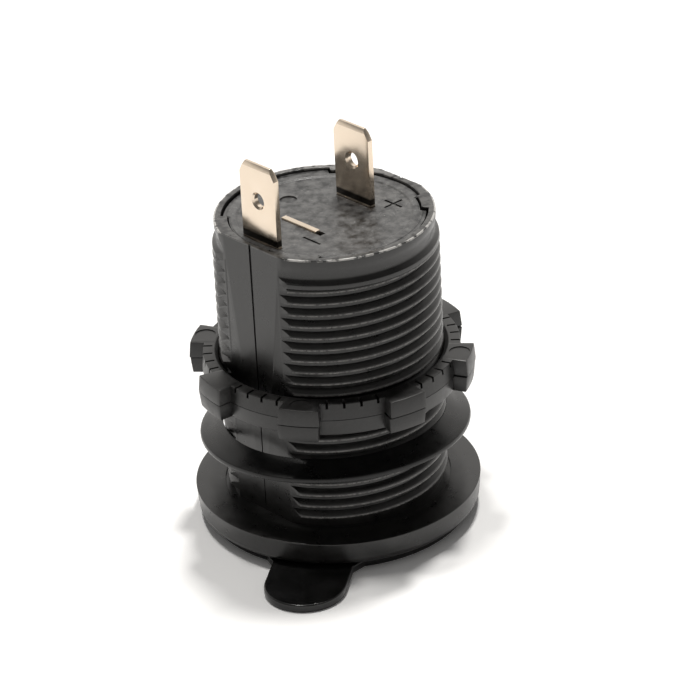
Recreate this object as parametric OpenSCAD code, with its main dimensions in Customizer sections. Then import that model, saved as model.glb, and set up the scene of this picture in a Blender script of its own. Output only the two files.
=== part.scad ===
// Two-port charging socket for a round panel hole, standing face down on its dust cap.
// The barrel axis is Z, the panel seat on the back of the flange is Z = 0, and the
// terminals point to +Z. All lengths are in millimetres.

/* [Barrel] */
// Outer radius of the thread crests
crest_r = 14.4; // [13.6:0.1:16]
// Depth of the thread
thread_depth = 0.7; // [0.6:0.05:0.9]
// How much smaller the rim at the terminal end is than the crests
rim_step = 0.4; // [0.3:0.05:0.5]
// Height of the straight part of the rim
rim_h = 0.8; // [0.6:0.1:1.2]
// Height of the flare that leads up to the rim
rim_flare_h = 0.7; // [0.4:0.1:1]
// Depth of the front flat below the crests
flat_depth = 1.65; // [1.5:0.05:1.75]
// How far the shallower flat at the back lies below the feet of the threads
back_flat_drop = 0.05; // [0.02:0.01:0.2]
// Height of the barrel above the panel seat
barrel_h = 37.7; // [35:0.5:44]
// Height of the plain band at the terminal end
plain_band_h = 3.2; // [2:0.2:5]
// Distance between neighbouring thread crests
thread_pitch = 1.6; // [1.5:0.1:2]
// Width of the flat top of a thread crest
crest_w = 0.5; // [0.4:0.05:0.6]
// Width of a thread at its root
thread_root_w = 1.2; // [1:0.05:1.3]
// Height of the lowest crest above the panel seat
first_crest_z = 1; // [0.8:0.1:1.4]
// Wall of the barrel below the thread
wall_t = 2.1; // [1.9:0.1:2.2]
// Width of the parting groove down each flat
parting_groove_w = 0.4; // [0.2:0.1:0.6]
// Depth of the parting groove down each flat
parting_groove_d = 0.2; // [0.1:0.05:0.3]
// How deep the thread ridges are rooted in the wall
thread_sink = 0.15; // [0.1:0.05:0.3]

/* [Flange] */
// How far the flange reaches past the thread crests
flange_reach = 4.2; // [3.9:0.1:6]
// Height of the upright band around the flange
flange_band_h = 2.2; // [1.8:0.1:2.6]
// Thickness of the flange
flange_t = 3.3; // [3:0.1:3.8]
// How much smaller the flange is at the lower edge of its band
flange_draft = 0.2; // [0:0.05:0.4]
// Radius of the round front edge of the flange
flange_front_edge = 1.1; // [0.8:0.1:1.3]
// Width of the step between the recess and the front face
recess_step = 0.6; // [0.5:0.05:0.8]
// Width of the relief groove around the foot of the barrel, past the crests
relief_w = 0.3; // [0.2:0.05:0.4]
// Depth of the relief groove around the foot of the barrel
relief_d = 0.2; // [0.1:0.05:0.3]
// Width of the ledge that the front face rests on
face_ledge_w = 0.65; // [0.5:0.05:0.8]

/* [Front face] */
// Depth of the front face behind the front edge of the flange
face_depth = 2.9; // [2.6:0.1:3.2]
// Thickness of the front face
face_t = 2; // [1.6:0.1:2.4]
// Clearance around the front face in its bore
face_gap = 0.05; // [0.02:0.01:0.1]
// Width of the raised lip around each port
port_lip_w = 0.7; // [0.4:0.1:1]
// Height of the raised lip around each port
port_lip_h = 0.3; // [0.1:0.1:0.5]
// Corner radius of a port opening
port_corner_r = 0.7; // [0.6:0.1:1]
// Radius of the light pipe
pipe_r = 0.9; // [0.7:0.1:0.9]
// Distance of the light pipe from the side of a port shell
pipe_from_shell = 1.75; // [1.7:0.05:2]
// Height of the light pipe above the board
pipe_above_board = 1.1; // [0.9:0.1:1.3]
// Width of the collar behind the front face
pipe_collar_w = 0.4; // [0.2:0.1:0.5]
// Thickness of the collar behind the front face
pipe_collar_t = 0.4; // [0.3:0.05:0.5]

/* [Ports] */
// Outer width of a port shell
shell_w = 13.1; // [12.9:0.1:13.3]
// Outer height of a port shell
shell_h = 5.72; // [5.6:0.02:5.8]
// Length of a port shell
shell_len = 14; // [13:0.5:15]
// Sheet thickness of a port shell
shell_t = 0.35; // [0.3:0.05:0.4]
// Corner radius of a port shell
shell_corner_r = 0.6; // [0.5:0.1:0.8]
// Clearance between a shell and its opening in the front face
shell_gap = 0.1; // [0.05:0.05:0.15]
// Width of the spring windows in a shell
window_w = 2; // [1.5:0.1:2.5]
// Length of the spring windows in a shell
window_len = 2.4; // [2:0.1:3]
// Distance of the spring windows from the mouth
window_from_mouth = 5.5; // [4.5:0.1:6.5]
// Width of the insulating tongue in a port
tongue_w = 11.1; // [10.8:0.1:11.3]
// Thickness of the insulating tongue in a port
tongue_t = 1.84; // [1.7:0.02:1.9]
// How far the tongue stops short of the mouth
tongue_setback = 1.3; // [1.2:0.1:1.6]
// Length of the block that carries the tongue
tongue_block_len = 3; // [2.5:0.5:4]
// Space between the tongue and the near wall of the shell
tongue_offset = 0.72; // [0.6:0.02:0.8]
// Clearance around the block in the shell
block_gap = 0.05; // [0.02:0.01:0.08]
// Distance between neighbouring power contacts
contact_pitch = 2.5; // [2.3:0.1:2.6]
// Width of a contact
contact_w = 1; // [0.8:0.1:1.1]
// Thickness of a contact
contact_t = 0.2; // [0.15:0.05:0.25]
// Distance of the two inner contacts from the middle
contact_inner_x = 1; // [0.9:0.05:1.1]
// Clearance around a contact in its slot
contact_gap = 0.02; // [0.01:0.01:0.03]
// How far a contact stops short of the tongue tip
contact_setback = 0.8; // [0.5:0.1:1.2]
// Distance from the shell to the bend of a contact
contact_bend = 0.5; // [0.4:0.1:0.8]
// Length of a contact foot on the board
contact_foot = 1.2; // [0.8:0.1:1.6]

/* [Circuit board] */
// Thickness of the circuit board
board_t = 1.6; // [1.5:0.1:1.7]
// Side gap between the board and the wall
board_side_gap = 0.4; // [0.3:0.05:0.6]
// Corner cut at the rear end of the board
board_corner = 1.5; // [1:0.1:2]
// Gap between the front face and the board
board_front_gap = 0.6; // [0.4:0.1:1]
// Length of the circuit board
board_len = 29.3; // [28:0.1:30]
// Clearance of the board in its guide ribs
board_gap = 0.1; // [0.05:0.05:0.15]
// Thickness of a guide rib
rib_t = 1; // [0.8:0.1:1.4]
// How far a guide rib reaches in from the wall
rib_reach = 1.4; // [1.2:0.1:1.6]
// How far the guide ribs stop short of the board ends
rib_setback = 1; // [1:0.1:2]

/* [Board parts] */
// Room between the parts on the board
part_room = 0.4; // [0.3:0.1:0.6]
// Width of a chip body
chip_w = 3.9; // [3.8:0.1:4]
// Length of a chip body
chip_len = 4.9; // [4.8:0.1:5]
// Thickness of a chip body
chip_t = 1.4; // [1.2:0.1:1.6]
// Height of a chip body above the board
chip_stand = 0.15; // [0.1:0.05:0.2]
// Distance between neighbouring legs of a chip
leg_pitch = 1.27; // [1.2:0.01:1.3]
// Width of a chip leg
leg_w = 0.42; // [0.35:0.01:0.5]
// Thickness of a chip leg
leg_t = 0.2; // [0.15:0.05:0.25]
// How far a chip leg reaches out from the body
leg_reach = 1.05; // [0.9:0.05:1.1]
// Distance of the chips from the middle of the board
chip_x = 5.2; // [5:0.1:5.4]
// Distance from the port contacts to the middle of the first chip
converter_from_ports = 6; // [5:0.1:6]
// Distance between the middles of the two chips
chip_spacing = 6.5; // [6:0.1:6.6]
// Radius of the inductor
coil_r = 3.9; // [3.5:0.1:4]
// Height of the inductor
coil_h = 4.4; // [4:0.1:5]
// Radius of the inductor core inside its winding
coil_waist_r = 2; // [1.5:0.1:2.2]
// Thickness of the inductor flanges
coil_flange_t = 0.9; // [0.7:0.1:1.1]
// Turns that show on the inductor
coil_turns = 5; // [4:1:6]
// Distance of the inductor from the side edge of the board
coil_from_edge = 1.8; // [1.6:0.1:2]
// Radius of a capacitor can
can_r = 3.15; // [3:0.05:3.2]
// Length of a capacitor can
can_len = 11.5; // [11:0.5:12]
// Distance from a can to the wall
can_from_wall = 0.5; // [0.4:0.1:0.8]
// Height of a can above the board
can_rest = 0.05; // [0.02:0.01:0.1]
// Depth of the crimp groove in a can
crimp_d = 0.3; // [0.2:0.05:0.4]
// Height of the crimp groove in a can
crimp_z = 2; // [1.5:0.1:2.5]
// Bevel at the ends of a can
can_edge = 0.4; // [0.3:0.1:0.5]
// Radius of the wires of a can
wire_r = 0.3; // [0.25:0.05:0.35]
// Distance of each wire from the middle of a can
wire_spread = 1.25; // [1:0.05:1.5]
// How far the wires reach before they bend
wire_reach = 1.6; // [1.4:0.1:2]
// Width of the rectifier diode
diode_w = 4.3; // [4:0.1:4.5]
// Length of the rectifier diode along the board
diode_len = 2.7; // [2.5:0.1:2.8]
// Thickness of the rectifier diode
diode_t = 2.3; // [2:0.1:2.4]
// Width of the resettable fuse
fuse_w = 4.6; // [4.4:0.1:4.8]
// Length of the resettable fuse along the board
fuse_len = 1.7; // [1.5:0.1:1.9]
// Thickness of the resettable fuse
fuse_t = 1; // [0.8:0.1:1.2]
// Distance of the diode and the fuse from the middle of the board
side_part_x = 5.6; // [5.5:0.1:6]
// Distance from the rear end of the board to the diode and the fuse
side_part_from_end = 0.6; // [0.5:0.1:0.8]
// Width of a chip resistor
resistor_w = 0.8; // [0.7:0.1:0.9]
// Length of a chip resistor
resistor_len = 1.6; // [1.5:0.1:1.7]
// Thickness of a chip resistor
resistor_t = 0.6; // [0.4:0.1:0.7]
// Distance between neighbouring chip resistors
resistor_pitch = 1.6; // [1.4:0.1:1.6]
// Distance from the rear end of the board to the chip resistors
resistor_from_end = 4.7; // [4.5:0.1:5]
// Width of the status lamp
led_w = 2; // [1.6:0.1:2]
// Depth of the status lamp
led_d = 2; // [1.6:0.1:2]
// Length of the status lamp along the board
led_len = 0.8; // [0.6:0.1:0.8]
// Gap between the light pipe and the status lamp
led_gap = 0.15; // [0.1:0.05:0.2]

/* [End plate] */
// Width of the lip around the end plate beside the threads
plate_lip = 0.95; // [0.9:0.05:1.1]
// Width of the lip around the end plate behind the flats
plate_flat_lip = 0.55; // [0.5:0.05:0.7]
// Half angle of the narrower part of the end plate
plate_key_angle = 43; // [38:1:46]
// Clearance around the end plate
plate_gap = 0.06; // [0.03:0.01:0.1]
// Thickness of the end plate
plate_t = 2.2; // [2:0.1:3]
// Depth of the end plate below the barrel rim
plate_drop = 0.3; // [0.1:0.1:0.6]
// Width of the level border around the dish in the end plate
plate_border = 1.2; // [1:0.1:1.5]
// Depth of the shallow dish in the end plate
dish_d = 0.15; // [0.1:0.05:0.3]
// Length of a bar of the polarity marks
mark_len = 3.1; // [2.5:0.1:3.5]
// Width of a bar of the polarity marks
mark_w = 0.35; // [0.3:0.05:0.6]
// Depth of the polarity marks
mark_d = 0.2; // [0.15:0.05:0.3]
// Distance of the polarity marks to the side of the middle
mark_x = 4.3; // [4:0.1:5]
// Distance from the negative blade to its mark
minus_from_blade = 4.3; // [4:0.1:5]
// Distance from the positive blade to its mark
plus_from_blade = 2.45; // [2.2:0.05:2.8]
// Radius of the ejector mark
ejector_r = 1.1; // [0.8:0.1:1.4]
// Depth of the ejector mark
ejector_d = 0.25; // [0.15:0.05:0.35]
// Distance of the ejector mark to the side of the middle
ejector_x = 6.7; // [6:0.1:7]

/* [Terminals] */
// Width of a blade terminal
blade_w = 6.3; // [6:0.1:6.5]
// Thickness of a blade terminal
blade_t = 0.8; // [0.7:0.05:0.9]
// Height of a blade above the end plate
blade_h = 10.5; // [9:0.5:12]
// Width of the corner cuts at the blade tip
blade_corner_w = 0.9; // [0.6:0.1:1.2]
// Height of the corner cuts at the blade tip
blade_corner_h = 1.5; // [1:0.1:2]
// Depth of the bevel along the blade tip
blade_bevel = 0.25; // [0.15:0.05:0.3]
// Height of the bevel along the blade tip
blade_bevel_h = 0.6; // [0.4:0.1:0.8]
// Radius of the latch hole in a blade
blade_hole_r = 0.9; // [0.8:0.05:1]
// Height of the latch hole above the end plate
blade_hole_z = 5.6; // [5:0.1:6.5]
// Width and depth of the bevel around the latch hole
blade_hole_bevel = 0.25; // [0.15:0.05:0.3]
// Distance of the negative blade from the edge of the end plate
negative_inset = 1.7; // [1.6:0.05:2]
// Distance of the positive blade from the edge of the end plate
positive_inset = 6.75; // [6.2:0.05:7.2]
// Distance from the negative blade to the spare tab
spare_from_negative = 6.4; // [6:0.1:7]
// Width of the lead that runs from a blade to the board
lead_w = 3; // [2:0.1:4]
// Gap between the end plate and the leads below it
lead_drop = 1.2; // [1:0.1:1.4]
// Length of a lead against the board
lead_lap = 3.5; // [2:0.5:4]
// Height of the spare tab above the end plate
spare_proud = 0.25; // [0.1:0.05:0.5]
// How far the shoulders of the spare tab reach out below the end plate
spare_shoulder = 0.6; // [0.4:0.1:0.8]
// Length of the empty part of the slot beside the spare tab
spare_slot_extra = 0.9; // [0.6:0.1:1.2]
// Clearance around a terminal in the end plate
terminal_gap = 0.04; // [0.02:0.01:0.08]

/* [Lock nut] */
// Wall of the nut between its lugs
nut_wall = 2.2; // [2:0.1:2.6]
// How far the lugs stay inside the edge of the flange
lug_inset = 0.1; // [0.05:0.05:0.5]
// Width of a lug
lug_w = 5.4; // [4.5:0.1:6]
// Number of lugs
lug_count = 8; // [6:2:10]
// Height of the nut
nut_h = 4.4; // [4:0.1:6]
// Height of the nut above the panel seat
nut_z = 14.6; // [12:0.1:16]
// Turn of the first lug
lug_turn = -10.5; // [-22:0.5:22]
// Draft of the outer walls above and below mid height
nut_draft = 0.25; // [0.1:0.05:0.4]
// Clearance between the nut and the thread crests
nut_gap = 0.1; // [0.05:0.01:0.15]
// Bevel at the upper end of the nut bore
nut_bevel = 0.5; // [0.3:0.1:0.7]
// Width of the grooves in the nut top
nut_groove_w = 0.35; // [0.25:0.05:0.5]
// Depth of the grooves in the nut top
nut_groove_d = 0.6; // [0.4:0.1:1]
// Width of the ledge outside the grooves
nut_ledge_w = 0.5; // [0.4:0.1:0.8]
// Radius of the round marks on every second lug
lug_mark_r = 1.4; // [1:0.1:1.6]
// Depth of the round marks on every second lug
lug_mark_d = 0.12; // [0.08:0.02:0.2]

/* [Gasket] */
// Width of the gasket from its hole to its outer edge
gasket_w = 2.8; // [2.4:0.1:3.2]
// Thickness of the gasket
gasket_t = 0.7; // [0.5:0.1:1]
// Height of the outer edge of the gasket above the panel seat
gasket_z = 7.3; // [6:0.1:8]
// How far the inner edge of the gasket is pulled up
gasket_dish = 1.2; // [0.4:0.1:1.6]
// Tilt of the gasket
gasket_tilt = 3.5; // [0:0.5:4]
// Direction of the high side of the gasket
gasket_turn = -15; // [-30:5:30]
// Clearance between the gasket and the thread crests
gasket_gap = 0.4; // [0.3:0.05:0.6]
// Bevel along the outer edge of the gasket
gasket_bevel = 0.15; // [0.1:0.05:0.2]

/* [Dust cap] */
// How much smaller the dust cap is than the flange
cap_inset = 1.5; // [1.2:0.1:1.8]
// Thickness of the dust cap
cap_t = 1.1; // [1:0.05:1.4]
// Gap between the dust cap and the flange
cap_gap = 0.1; // [0.05:0.05:0.2]
// Direction of the finger tab
tab_turn = -54.5; // [-60:0.5:-50]
// Width of the finger tab
tab_w = 10.4; // [9:0.1:12]
// How far the tab reaches past the edge of the cap
tab_len = 10.6; // [8:0.1:13]
// Thickness of the finger tab
tab_t = 1.05; // [0.9:0.05:1.1]
// Clearance between the plug ring on the cap and the recess
plug_gap = 0.3; // [0.2:0.05:0.4]
// Wall of the plug ring on the cap
plug_wall = 1.1; // [0.8:0.1:1.4]
// Height of the plug ring on the cap
plug_h = 1.8; // [1.2:0.1:2]
// Distance of the hinge pin from the edge of the flange
hinge_inset = 1; // [0.8:0.1:1.1]
// Radius of the hinge knuckle
knuckle_r = 1.35; // [1.3:0.05:1.4]
// Width of the hinge knuckle
knuckle_w = 7.6; // [6:0.1:8]
// Width of each hinge ear
ear_w = 2; // [1.6:0.1:2.2]
// Side gap between the knuckle and an ear
ear_gap = 0.2; // [0.15:0.05:0.3]
// How much smaller an ear is than the knuckle
ear_step = 0.1; // [0.05:0.05:0.2]
// Clearance around the knuckle and the ears
hinge_room = 0.35; // [0.3:0.05:0.5]
// Radius of the hinge pin
pin_r = 0.6; // [0.5:0.05:0.65]
// Clearance of the pin in the knuckle
pin_gap = 0.05; // [0.03:0.01:0.08]
// Clearance of the pin in the ears
pin_fit = 0.02; // [0.01:0.01:0.03]

/* [Hidden] */
$fn = 96;

// Overlap that lets two bodies of one piece fuse
fuse = 0.05;
// Cutters run past the surface that they open by this much
past = 1;

// Barrel
root_r = crest_r - thread_depth;
rim_r = crest_r - rim_step;
flat_dist = crest_r - flat_depth;
back_flat_dist = root_r - thread_sink - back_flat_drop;
bore_r = root_r - wall_t;
rim_z = barrel_h - rim_h;
flare_z = rim_z - rim_flare_h;
thread_top_z = barrel_h - plain_band_h;
thread_count = floor((thread_top_z - thread_root_w / 2 - first_crest_z) / thread_pitch + 0.5);
thread_lead = atan(thread_pitch / (2 * PI * crest_r));
foot_z = -relief_d - fuse;

// Flange and front face
flange_r = crest_r + flange_reach;
face_bore_r = bore_r + face_ledge_w;
recess_r = face_bore_r + recess_step;
flange_front_z = -flange_t;
face_front_z = flange_front_z + face_depth;
face_back_z = face_front_z + face_t;

// Ports and board
board_z = face_back_z + board_front_gap;
shell_y = board_t / 2 + shell_h / 2;
shell_back_z = face_front_z + shell_len;
tongue_z = face_front_z + tongue_setback;
block_z = shell_back_z - tongue_block_len;
tongue_y = board_t / 2 + shell_t + tongue_offset;
CONTACTS_X = [
    -contact_inner_x - contact_pitch, -contact_inner_x, contact_inner_x, contact_inner_x + contact_pitch
];
contact_foot_z = shell_back_z + contact_bend + contact_foot;
board_half_w = bore_r - board_side_gap;
board_end_z = board_z + board_len;
rib_inner_x = bore_r - rib_reach;
pipe_x = shell_w / 2 + pipe_from_shell;
pipe_y = board_t / 2 + pipe_above_board;

// Parts on the board
can_y = board_t / 2 + can_rest + can_r;
can_x = sqrt(pow(bore_r - can_from_wall - can_r, 2) - can_y * can_y);
can_z = contact_foot_z + part_room + wire_reach + wire_r;
coil_x = board_half_w - coil_from_edge - coil_r;
coil_z = contact_foot_z + part_room + coil_r;
converter_z = contact_foot_z + converter_from_ports;
port_chip_z = converter_z + chip_spacing;

// End plate and terminals
plate_r = rim_r - plate_lip;
plate_flat_r = flat_dist - plate_flat_lip;
dish_r = plate_flat_r - plate_border;
negative_y = negative_inset - plate_flat_r;
spare_y = negative_y + spare_from_negative;
positive_y = plate_flat_r - positive_inset;
plate_top_z = barrel_h - plate_drop;
plate_z = plate_top_z - plate_t;
blade_top_z = plate_top_z + blade_h;
lead_z = plate_z - lead_drop;

// Lock nut
nut_bore_r = crest_r + nut_gap;
nut_r = nut_bore_r + nut_wall;
lug_r = flange_r - lug_inset;
lug_step = 360 / lug_count;

// Dust cap and hinge
cap_r = flange_r - cap_inset;
plug_r = recess_r - plug_gap;
tab_middle = cap_r + tab_len - tab_w / 2;
cap_top_z = flange_front_z - cap_gap;
cap_z = cap_top_z - cap_t;
hinge_dist = flange_r - hinge_inset;
hinge_z = cap_z + knuckle_r;
ear_r = knuckle_r - ear_step;
ear_x = knuckle_w / 2 + ear_gap;
hinge_turn = tab_turn + 180;

// A box that is centred on X and Y and stands on z
module block(w, d, z, h) {
    translate([-w / 2, -d / 2, z]) cube([w, d, h]);
}

// A ring with square edges
module ring(outer, inner, z, h) {
    translate([0, 0, z]) difference() {
        cylinder(r = outer, h = h);
        translate([0, 0, -past]) cylinder(r = inner, h = h + 2 * past);
    }
}

// One thread ridge, tilted by the lead of the thread and kept on one side
module thread_ridge(z, side) {
    flank = (thread_root_w - crest_w) / 2 / thread_depth;
    foot = thread_root_w / 2 + flank * thread_sink;
    intersection() {
        translate([0, 0, z]) rotate([side * thread_lead, 0, 0]) rotate_extrude()
            polygon([
                [root_r - thread_sink, -foot], [crest_r, -crest_w / 2],
                [crest_r, crest_w / 2], [root_r - thread_sink, foot]
            ]);
        translate([side > 0 ? 0 : -2 * crest_r, -2 * crest_r, z - thread_pitch])
            cube([2 * crest_r, 4 * crest_r, 2 * thread_pitch]);
    }
}

// Keyed outline of the end plate, and of its seat when grown by gap
module plate_outline(gap) {
    reach = 2 * plate_r;
    circle(r = plate_flat_r + gap);
    difference() {
        circle(r = plate_r + gap);
        for (side = [-1, 1])
            polygon([
                [0, 0],
                [-reach * sin(plate_key_angle), side * reach * cos(plate_key_angle)],
                [reach * sin(plate_key_angle), side * reach * cos(plate_key_angle)]
            ]);
    }
}

// The hinge axis lies along local X, at the far side from the finger tab
module at_hinge() {
    rotate([0, 0, hinge_turn - 90]) translate([0, hinge_dist, hinge_z]) children();
}

// A round bar along local X, centred on it
module cross_bar(r, w) {
    translate([-w / 2, 0, 0]) rotate([0, 90, 0]) cylinder(r = r, h = w);
}

module flange_body() {
    band_r = flange_r - flange_draft;
    rotate_extrude() {
        polygon([
            [0, 0], [flange_r, 0], [band_r, -flange_band_h],
            [band_r - flange_front_edge, -flange_band_h], [0, -flange_band_h]
        ]);
        translate([0, flange_front_z])
            square([band_r - flange_front_edge, flange_t - flange_band_h + fuse]);
        intersection() {
            translate([band_r - flange_front_edge, flange_front_z + flange_front_edge])
                circle(r = flange_front_edge);
            translate([0, flange_front_z]) square([flange_r, flange_t]);
        }
    }
}

// Two pairs of ribs that guide the side edges of the board
module board_ribs() {
    intersection() {
        union() for (side = [-1, 1], face = [-1, 1])
            translate([
                side > 0 ? rib_inner_x : -bore_r - fuse,
                face > 0 ? board_t / 2 + board_gap : -board_t / 2 - board_gap - rib_t,
                board_z + rib_setback
            ])
                cube([rib_reach + fuse, rib_t, board_len - 2 * rib_setback]);
        cylinder(r = bore_r + fuse, h = barrel_h);
    }
}

// The cut for a flat at this distance from the axis, with the parting groove down its middle
module flat_cut(dist) {
    translate([-crest_r, dist, -past]) cube([2 * crest_r, crest_r, barrel_h + 2 * past]);
    translate([-parting_groove_w / 2, dist - parting_groove_d, foot_z])
        cube([parting_groove_w, past + parting_groove_d, barrel_h - foot_z + past]);
}

module housing() {
    color("#2b2a29") difference() {
        union() {
            difference() {
                union() {
                    translate([0, 0, foot_z]) cylinder(r = root_r, h = barrel_h - foot_z);
                    rotate_extrude() polygon([
                        [0, flare_z], [root_r - fuse, flare_z], [rim_r, rim_z],
                        [rim_r, barrel_h], [0, barrel_h]
                    ]);
                    for (i = [0:thread_count - 1]) {
                        thread_ridge(first_crest_z + i * thread_pitch, -1);
                        thread_ridge(first_crest_z + (i + 0.5) * thread_pitch, 1);
                    }
                }
                rotate([0, 0, 180]) flat_cut(flat_dist);
                flat_cut(back_flat_dist);
            }
            difference() {
                flange_body();
                translate([0, 0, -relief_d]) cylinder(r = crest_r + relief_w, h = past);
            }
            at_hinge() for (side = [-1, 1]) translate([side * (ear_x + ear_w / 2), 0, 0]) {
                cross_bar(ear_r, ear_w);
                translate([-ear_w / 2, -ear_r, 0]) cube([ear_w, 2 * ear_r, ear_r]);
            }
        }
        translate([0, 0, face_back_z]) cylinder(r = bore_r, h = barrel_h);
        translate([0, 0, flange_front_z]) cylinder(r = face_bore_r, h = face_back_z - flange_front_z);
        translate([0, 0, flange_front_z - past]) cylinder(r = recess_r, h = face_depth + past);
        translate([0, 0, plate_z]) linear_extrude(height = plate_t + plate_drop + past)
            plate_outline(plate_gap);
        at_hinge() {
            cross_bar(knuckle_r + hinge_room, 2 * ear_x);
            translate([-ear_x, -knuckle_r - hinge_room, -knuckle_r - past])
                cube([2 * ear_x, 2 * (knuckle_r + hinge_room), knuckle_r + past]);
            cross_bar(pin_r + pin_fit, 4 * knuckle_w);
        }
    }
    color("#2b2a29") board_ribs();
}

// A slot through the end plate for a terminal
module plate_slot(x, y, w) {
    translate([x, y, 0])
        block(w + 2 * terminal_gap, blade_t + 2 * terminal_gap, plate_z - past, plate_t + 2 * past);
}

// The cutter for one bar of a polarity mark, sunk into the dish
module mark_bar(w, d) {
    block(w, d, plate_top_z - dish_d - mark_d, past);
}

module end_plate() {
    color("#34322f") difference() {
        translate([0, 0, plate_z]) linear_extrude(height = plate_t) plate_outline(0);
        translate([0, 0, plate_top_z - dish_d]) cylinder(r = dish_r, h = past);
        plate_slot(0, negative_y, blade_w);
        plate_slot(0, positive_y, blade_w);
        plate_slot(spare_slot_extra / 2, spare_y, blade_w + spare_slot_extra);
        translate([-ejector_x, 0, plate_top_z - dish_d - ejector_d]) cylinder(r = ejector_r, h = past);
        translate([mark_x, negative_y + minus_from_blade, 0]) mark_bar(mark_len, mark_w);
        translate([mark_x, positive_y + plus_from_blade, 0]) {
            mark_bar(mark_len, mark_w);
            mark_bar(mark_w, mark_len);
        }
    }
}

// Outline of a blade seen from the front, with its tip corners cut
module blade_outline() {
    half_w = blade_w / 2;
    polygon([
        [-half_w, lead_z - blade_t], [half_w, lead_z - blade_t],
        [half_w, blade_top_z - blade_corner_h], [half_w - blade_corner_w, blade_top_z],
        [blade_corner_w - half_w, blade_top_z], [-half_w, blade_top_z - blade_corner_h]
    ]);
}

// Outline of a blade seen from its edge, with its tip bevelled
module blade_edge_outline() {
    half_t = blade_t / 2;
    polygon([
        [-half_t, 0], [half_t, 0],
        [half_t, blade_top_z - blade_bevel_h], [half_t - blade_bevel, blade_top_z],
        [blade_bevel - half_t, blade_top_z], [-half_t, blade_top_z - blade_bevel_h]
    ]);
}

// A blade with its lead, standing at y; the lead runs to the board on the given side
module blade(y, side) {
    hole_z = plate_top_z + blade_hole_z;
    board_face_y = side * board_t / 2;
    lead_low_z = board_end_z - lead_lap;
    difference() {
        intersection() {
            translate([0, y + blade_t / 2, 0]) rotate([90, 0, 0]) linear_extrude(height = blade_t)
                blade_outline();
            translate([-blade_w / 2, y, 0]) rotate([90, 0, 90]) linear_extrude(height = blade_w)
                blade_edge_outline();
        }
        translate([0, y + blade_t, hole_z]) rotate([90, 0, 0]) cylinder(r = blade_hole_r, h = 2 * blade_t);
        translate([0, y - blade_t / 2, hole_z]) rotate([-90, 0, 0])
            cylinder(r1 = blade_hole_r + blade_hole_bevel, r2 = blade_hole_r, h = blade_hole_bevel);
        for (edge = [-1, 1]) translate([edge * (blade_w + lead_w) / 2, y, 0])
            block(blade_w, 2 * blade_t, 0, plate_z - terminal_gap);
    }
    translate([0, (y + board_face_y) / 2, 0])
        block(lead_w, abs(y - board_face_y), lead_z - blade_t, blade_t);
    translate([0, board_face_y + side * blade_t / 2, 0])
        block(lead_w, blade_t, lead_low_z, lead_z - lead_low_z);
}

module positive_blade() {
    color("#cdbfae") blade(positive_y, 1);
}

module negative_blade() {
    color("#cdbfae") blade(negative_y, -1);
}

module spare_tab() {
    color("#cdbfae") translate([0, spare_y, 0]) {
        block(blade_w, blade_t, plate_z - fuse, plate_t - dish_d + spare_proud + fuse);
        block(blade_w + 2 * spare_shoulder, blade_t, plate_z - spare_shoulder, spare_shoulder);
    }
}

// Outline of half the nut section: walls that lean out to the parting line at mid height
module nut_section(outer) {
    translate([0, nut_z]) polygon([
        [0, 0], [outer - nut_draft, 0], [outer, nut_h / 2], [outer - nut_draft, nut_h], [0, nut_h]
    ]);
}

module lock_nut() {
    groove_len = nut_wall - nut_draft - nut_ledge_w;
    side_angle = asin(lug_w / 2 / nut_r);
    inner_angle = (lug_step / 2 - side_angle) / 3;
    top_z = nut_z + nut_h;
    color("#33312f") difference() {
        union() {
            rotate_extrude() nut_section(nut_r);
            intersection() {
                rotate_extrude() nut_section(lug_r);
                for (i = [0:lug_count / 2 - 1]) rotate([0, 0, lug_turn + i * lug_step])
                    block(2 * lug_r + past, lug_w, nut_z, nut_h);
            }
        }
        translate([0, 0, nut_z - past]) cylinder(r = nut_bore_r, h = nut_h + 2 * past);
        translate([0, 0, top_z - nut_bevel])
            cylinder(r1 = nut_bore_r, r2 = nut_bore_r + 2 * nut_bevel, h = 2 * nut_bevel);
        for (i = [0:lug_count - 1], a = [inner_angle, 3 * inner_angle], s = [-1, 1])
            rotate([0, 0, lug_turn + (i + 0.5) * lug_step + s * a])
                translate([nut_bore_r - fuse, -nut_groove_w / 2, top_z - nut_groove_d])
                    cube([groove_len + fuse, nut_groove_w, past]);
        for (i = [0:2:lug_count - 1]) rotate([0, 0, lug_turn + i * lug_step])
            translate([(lug_r + nut_bore_r) / 2, 0, top_z - lug_mark_d]) cylinder(r = lug_mark_r, h = past);
    }
}

module gasket() {
    hole_r = crest_r + gasket_gap;
    outer_r = hole_r + gasket_w;
    color("#1f1e1d") translate([0, 0, gasket_z]) rotate([0, 0, gasket_turn]) rotate([0, -gasket_tilt, 0])
        rotate_extrude() polygon([
            [hole_r, gasket_dish], [outer_r - gasket_bevel, 0], [outer_r, gasket_bevel],
            [outer_r, gasket_t - gasket_bevel], [outer_r - gasket_bevel, gasket_t],
            [hole_r, gasket_dish + gasket_t]
        ]);
}

// A rectangle with round corners, centred
module round_rect(w, d, r) {
    square([w - 2 * r, d], center = true);
    square([w, d - 2 * r], center = true);
    for (x = [-1, 1], y = [-1, 1]) translate([x * (w / 2 - r), y * (d / 2 - r)]) circle(r = r);
}

// Upper and lower ports are mirror images across the board
module at_port(side) {
    mirror([0, side > 0 ? 0 : 1, 0]) children();
}

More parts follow.
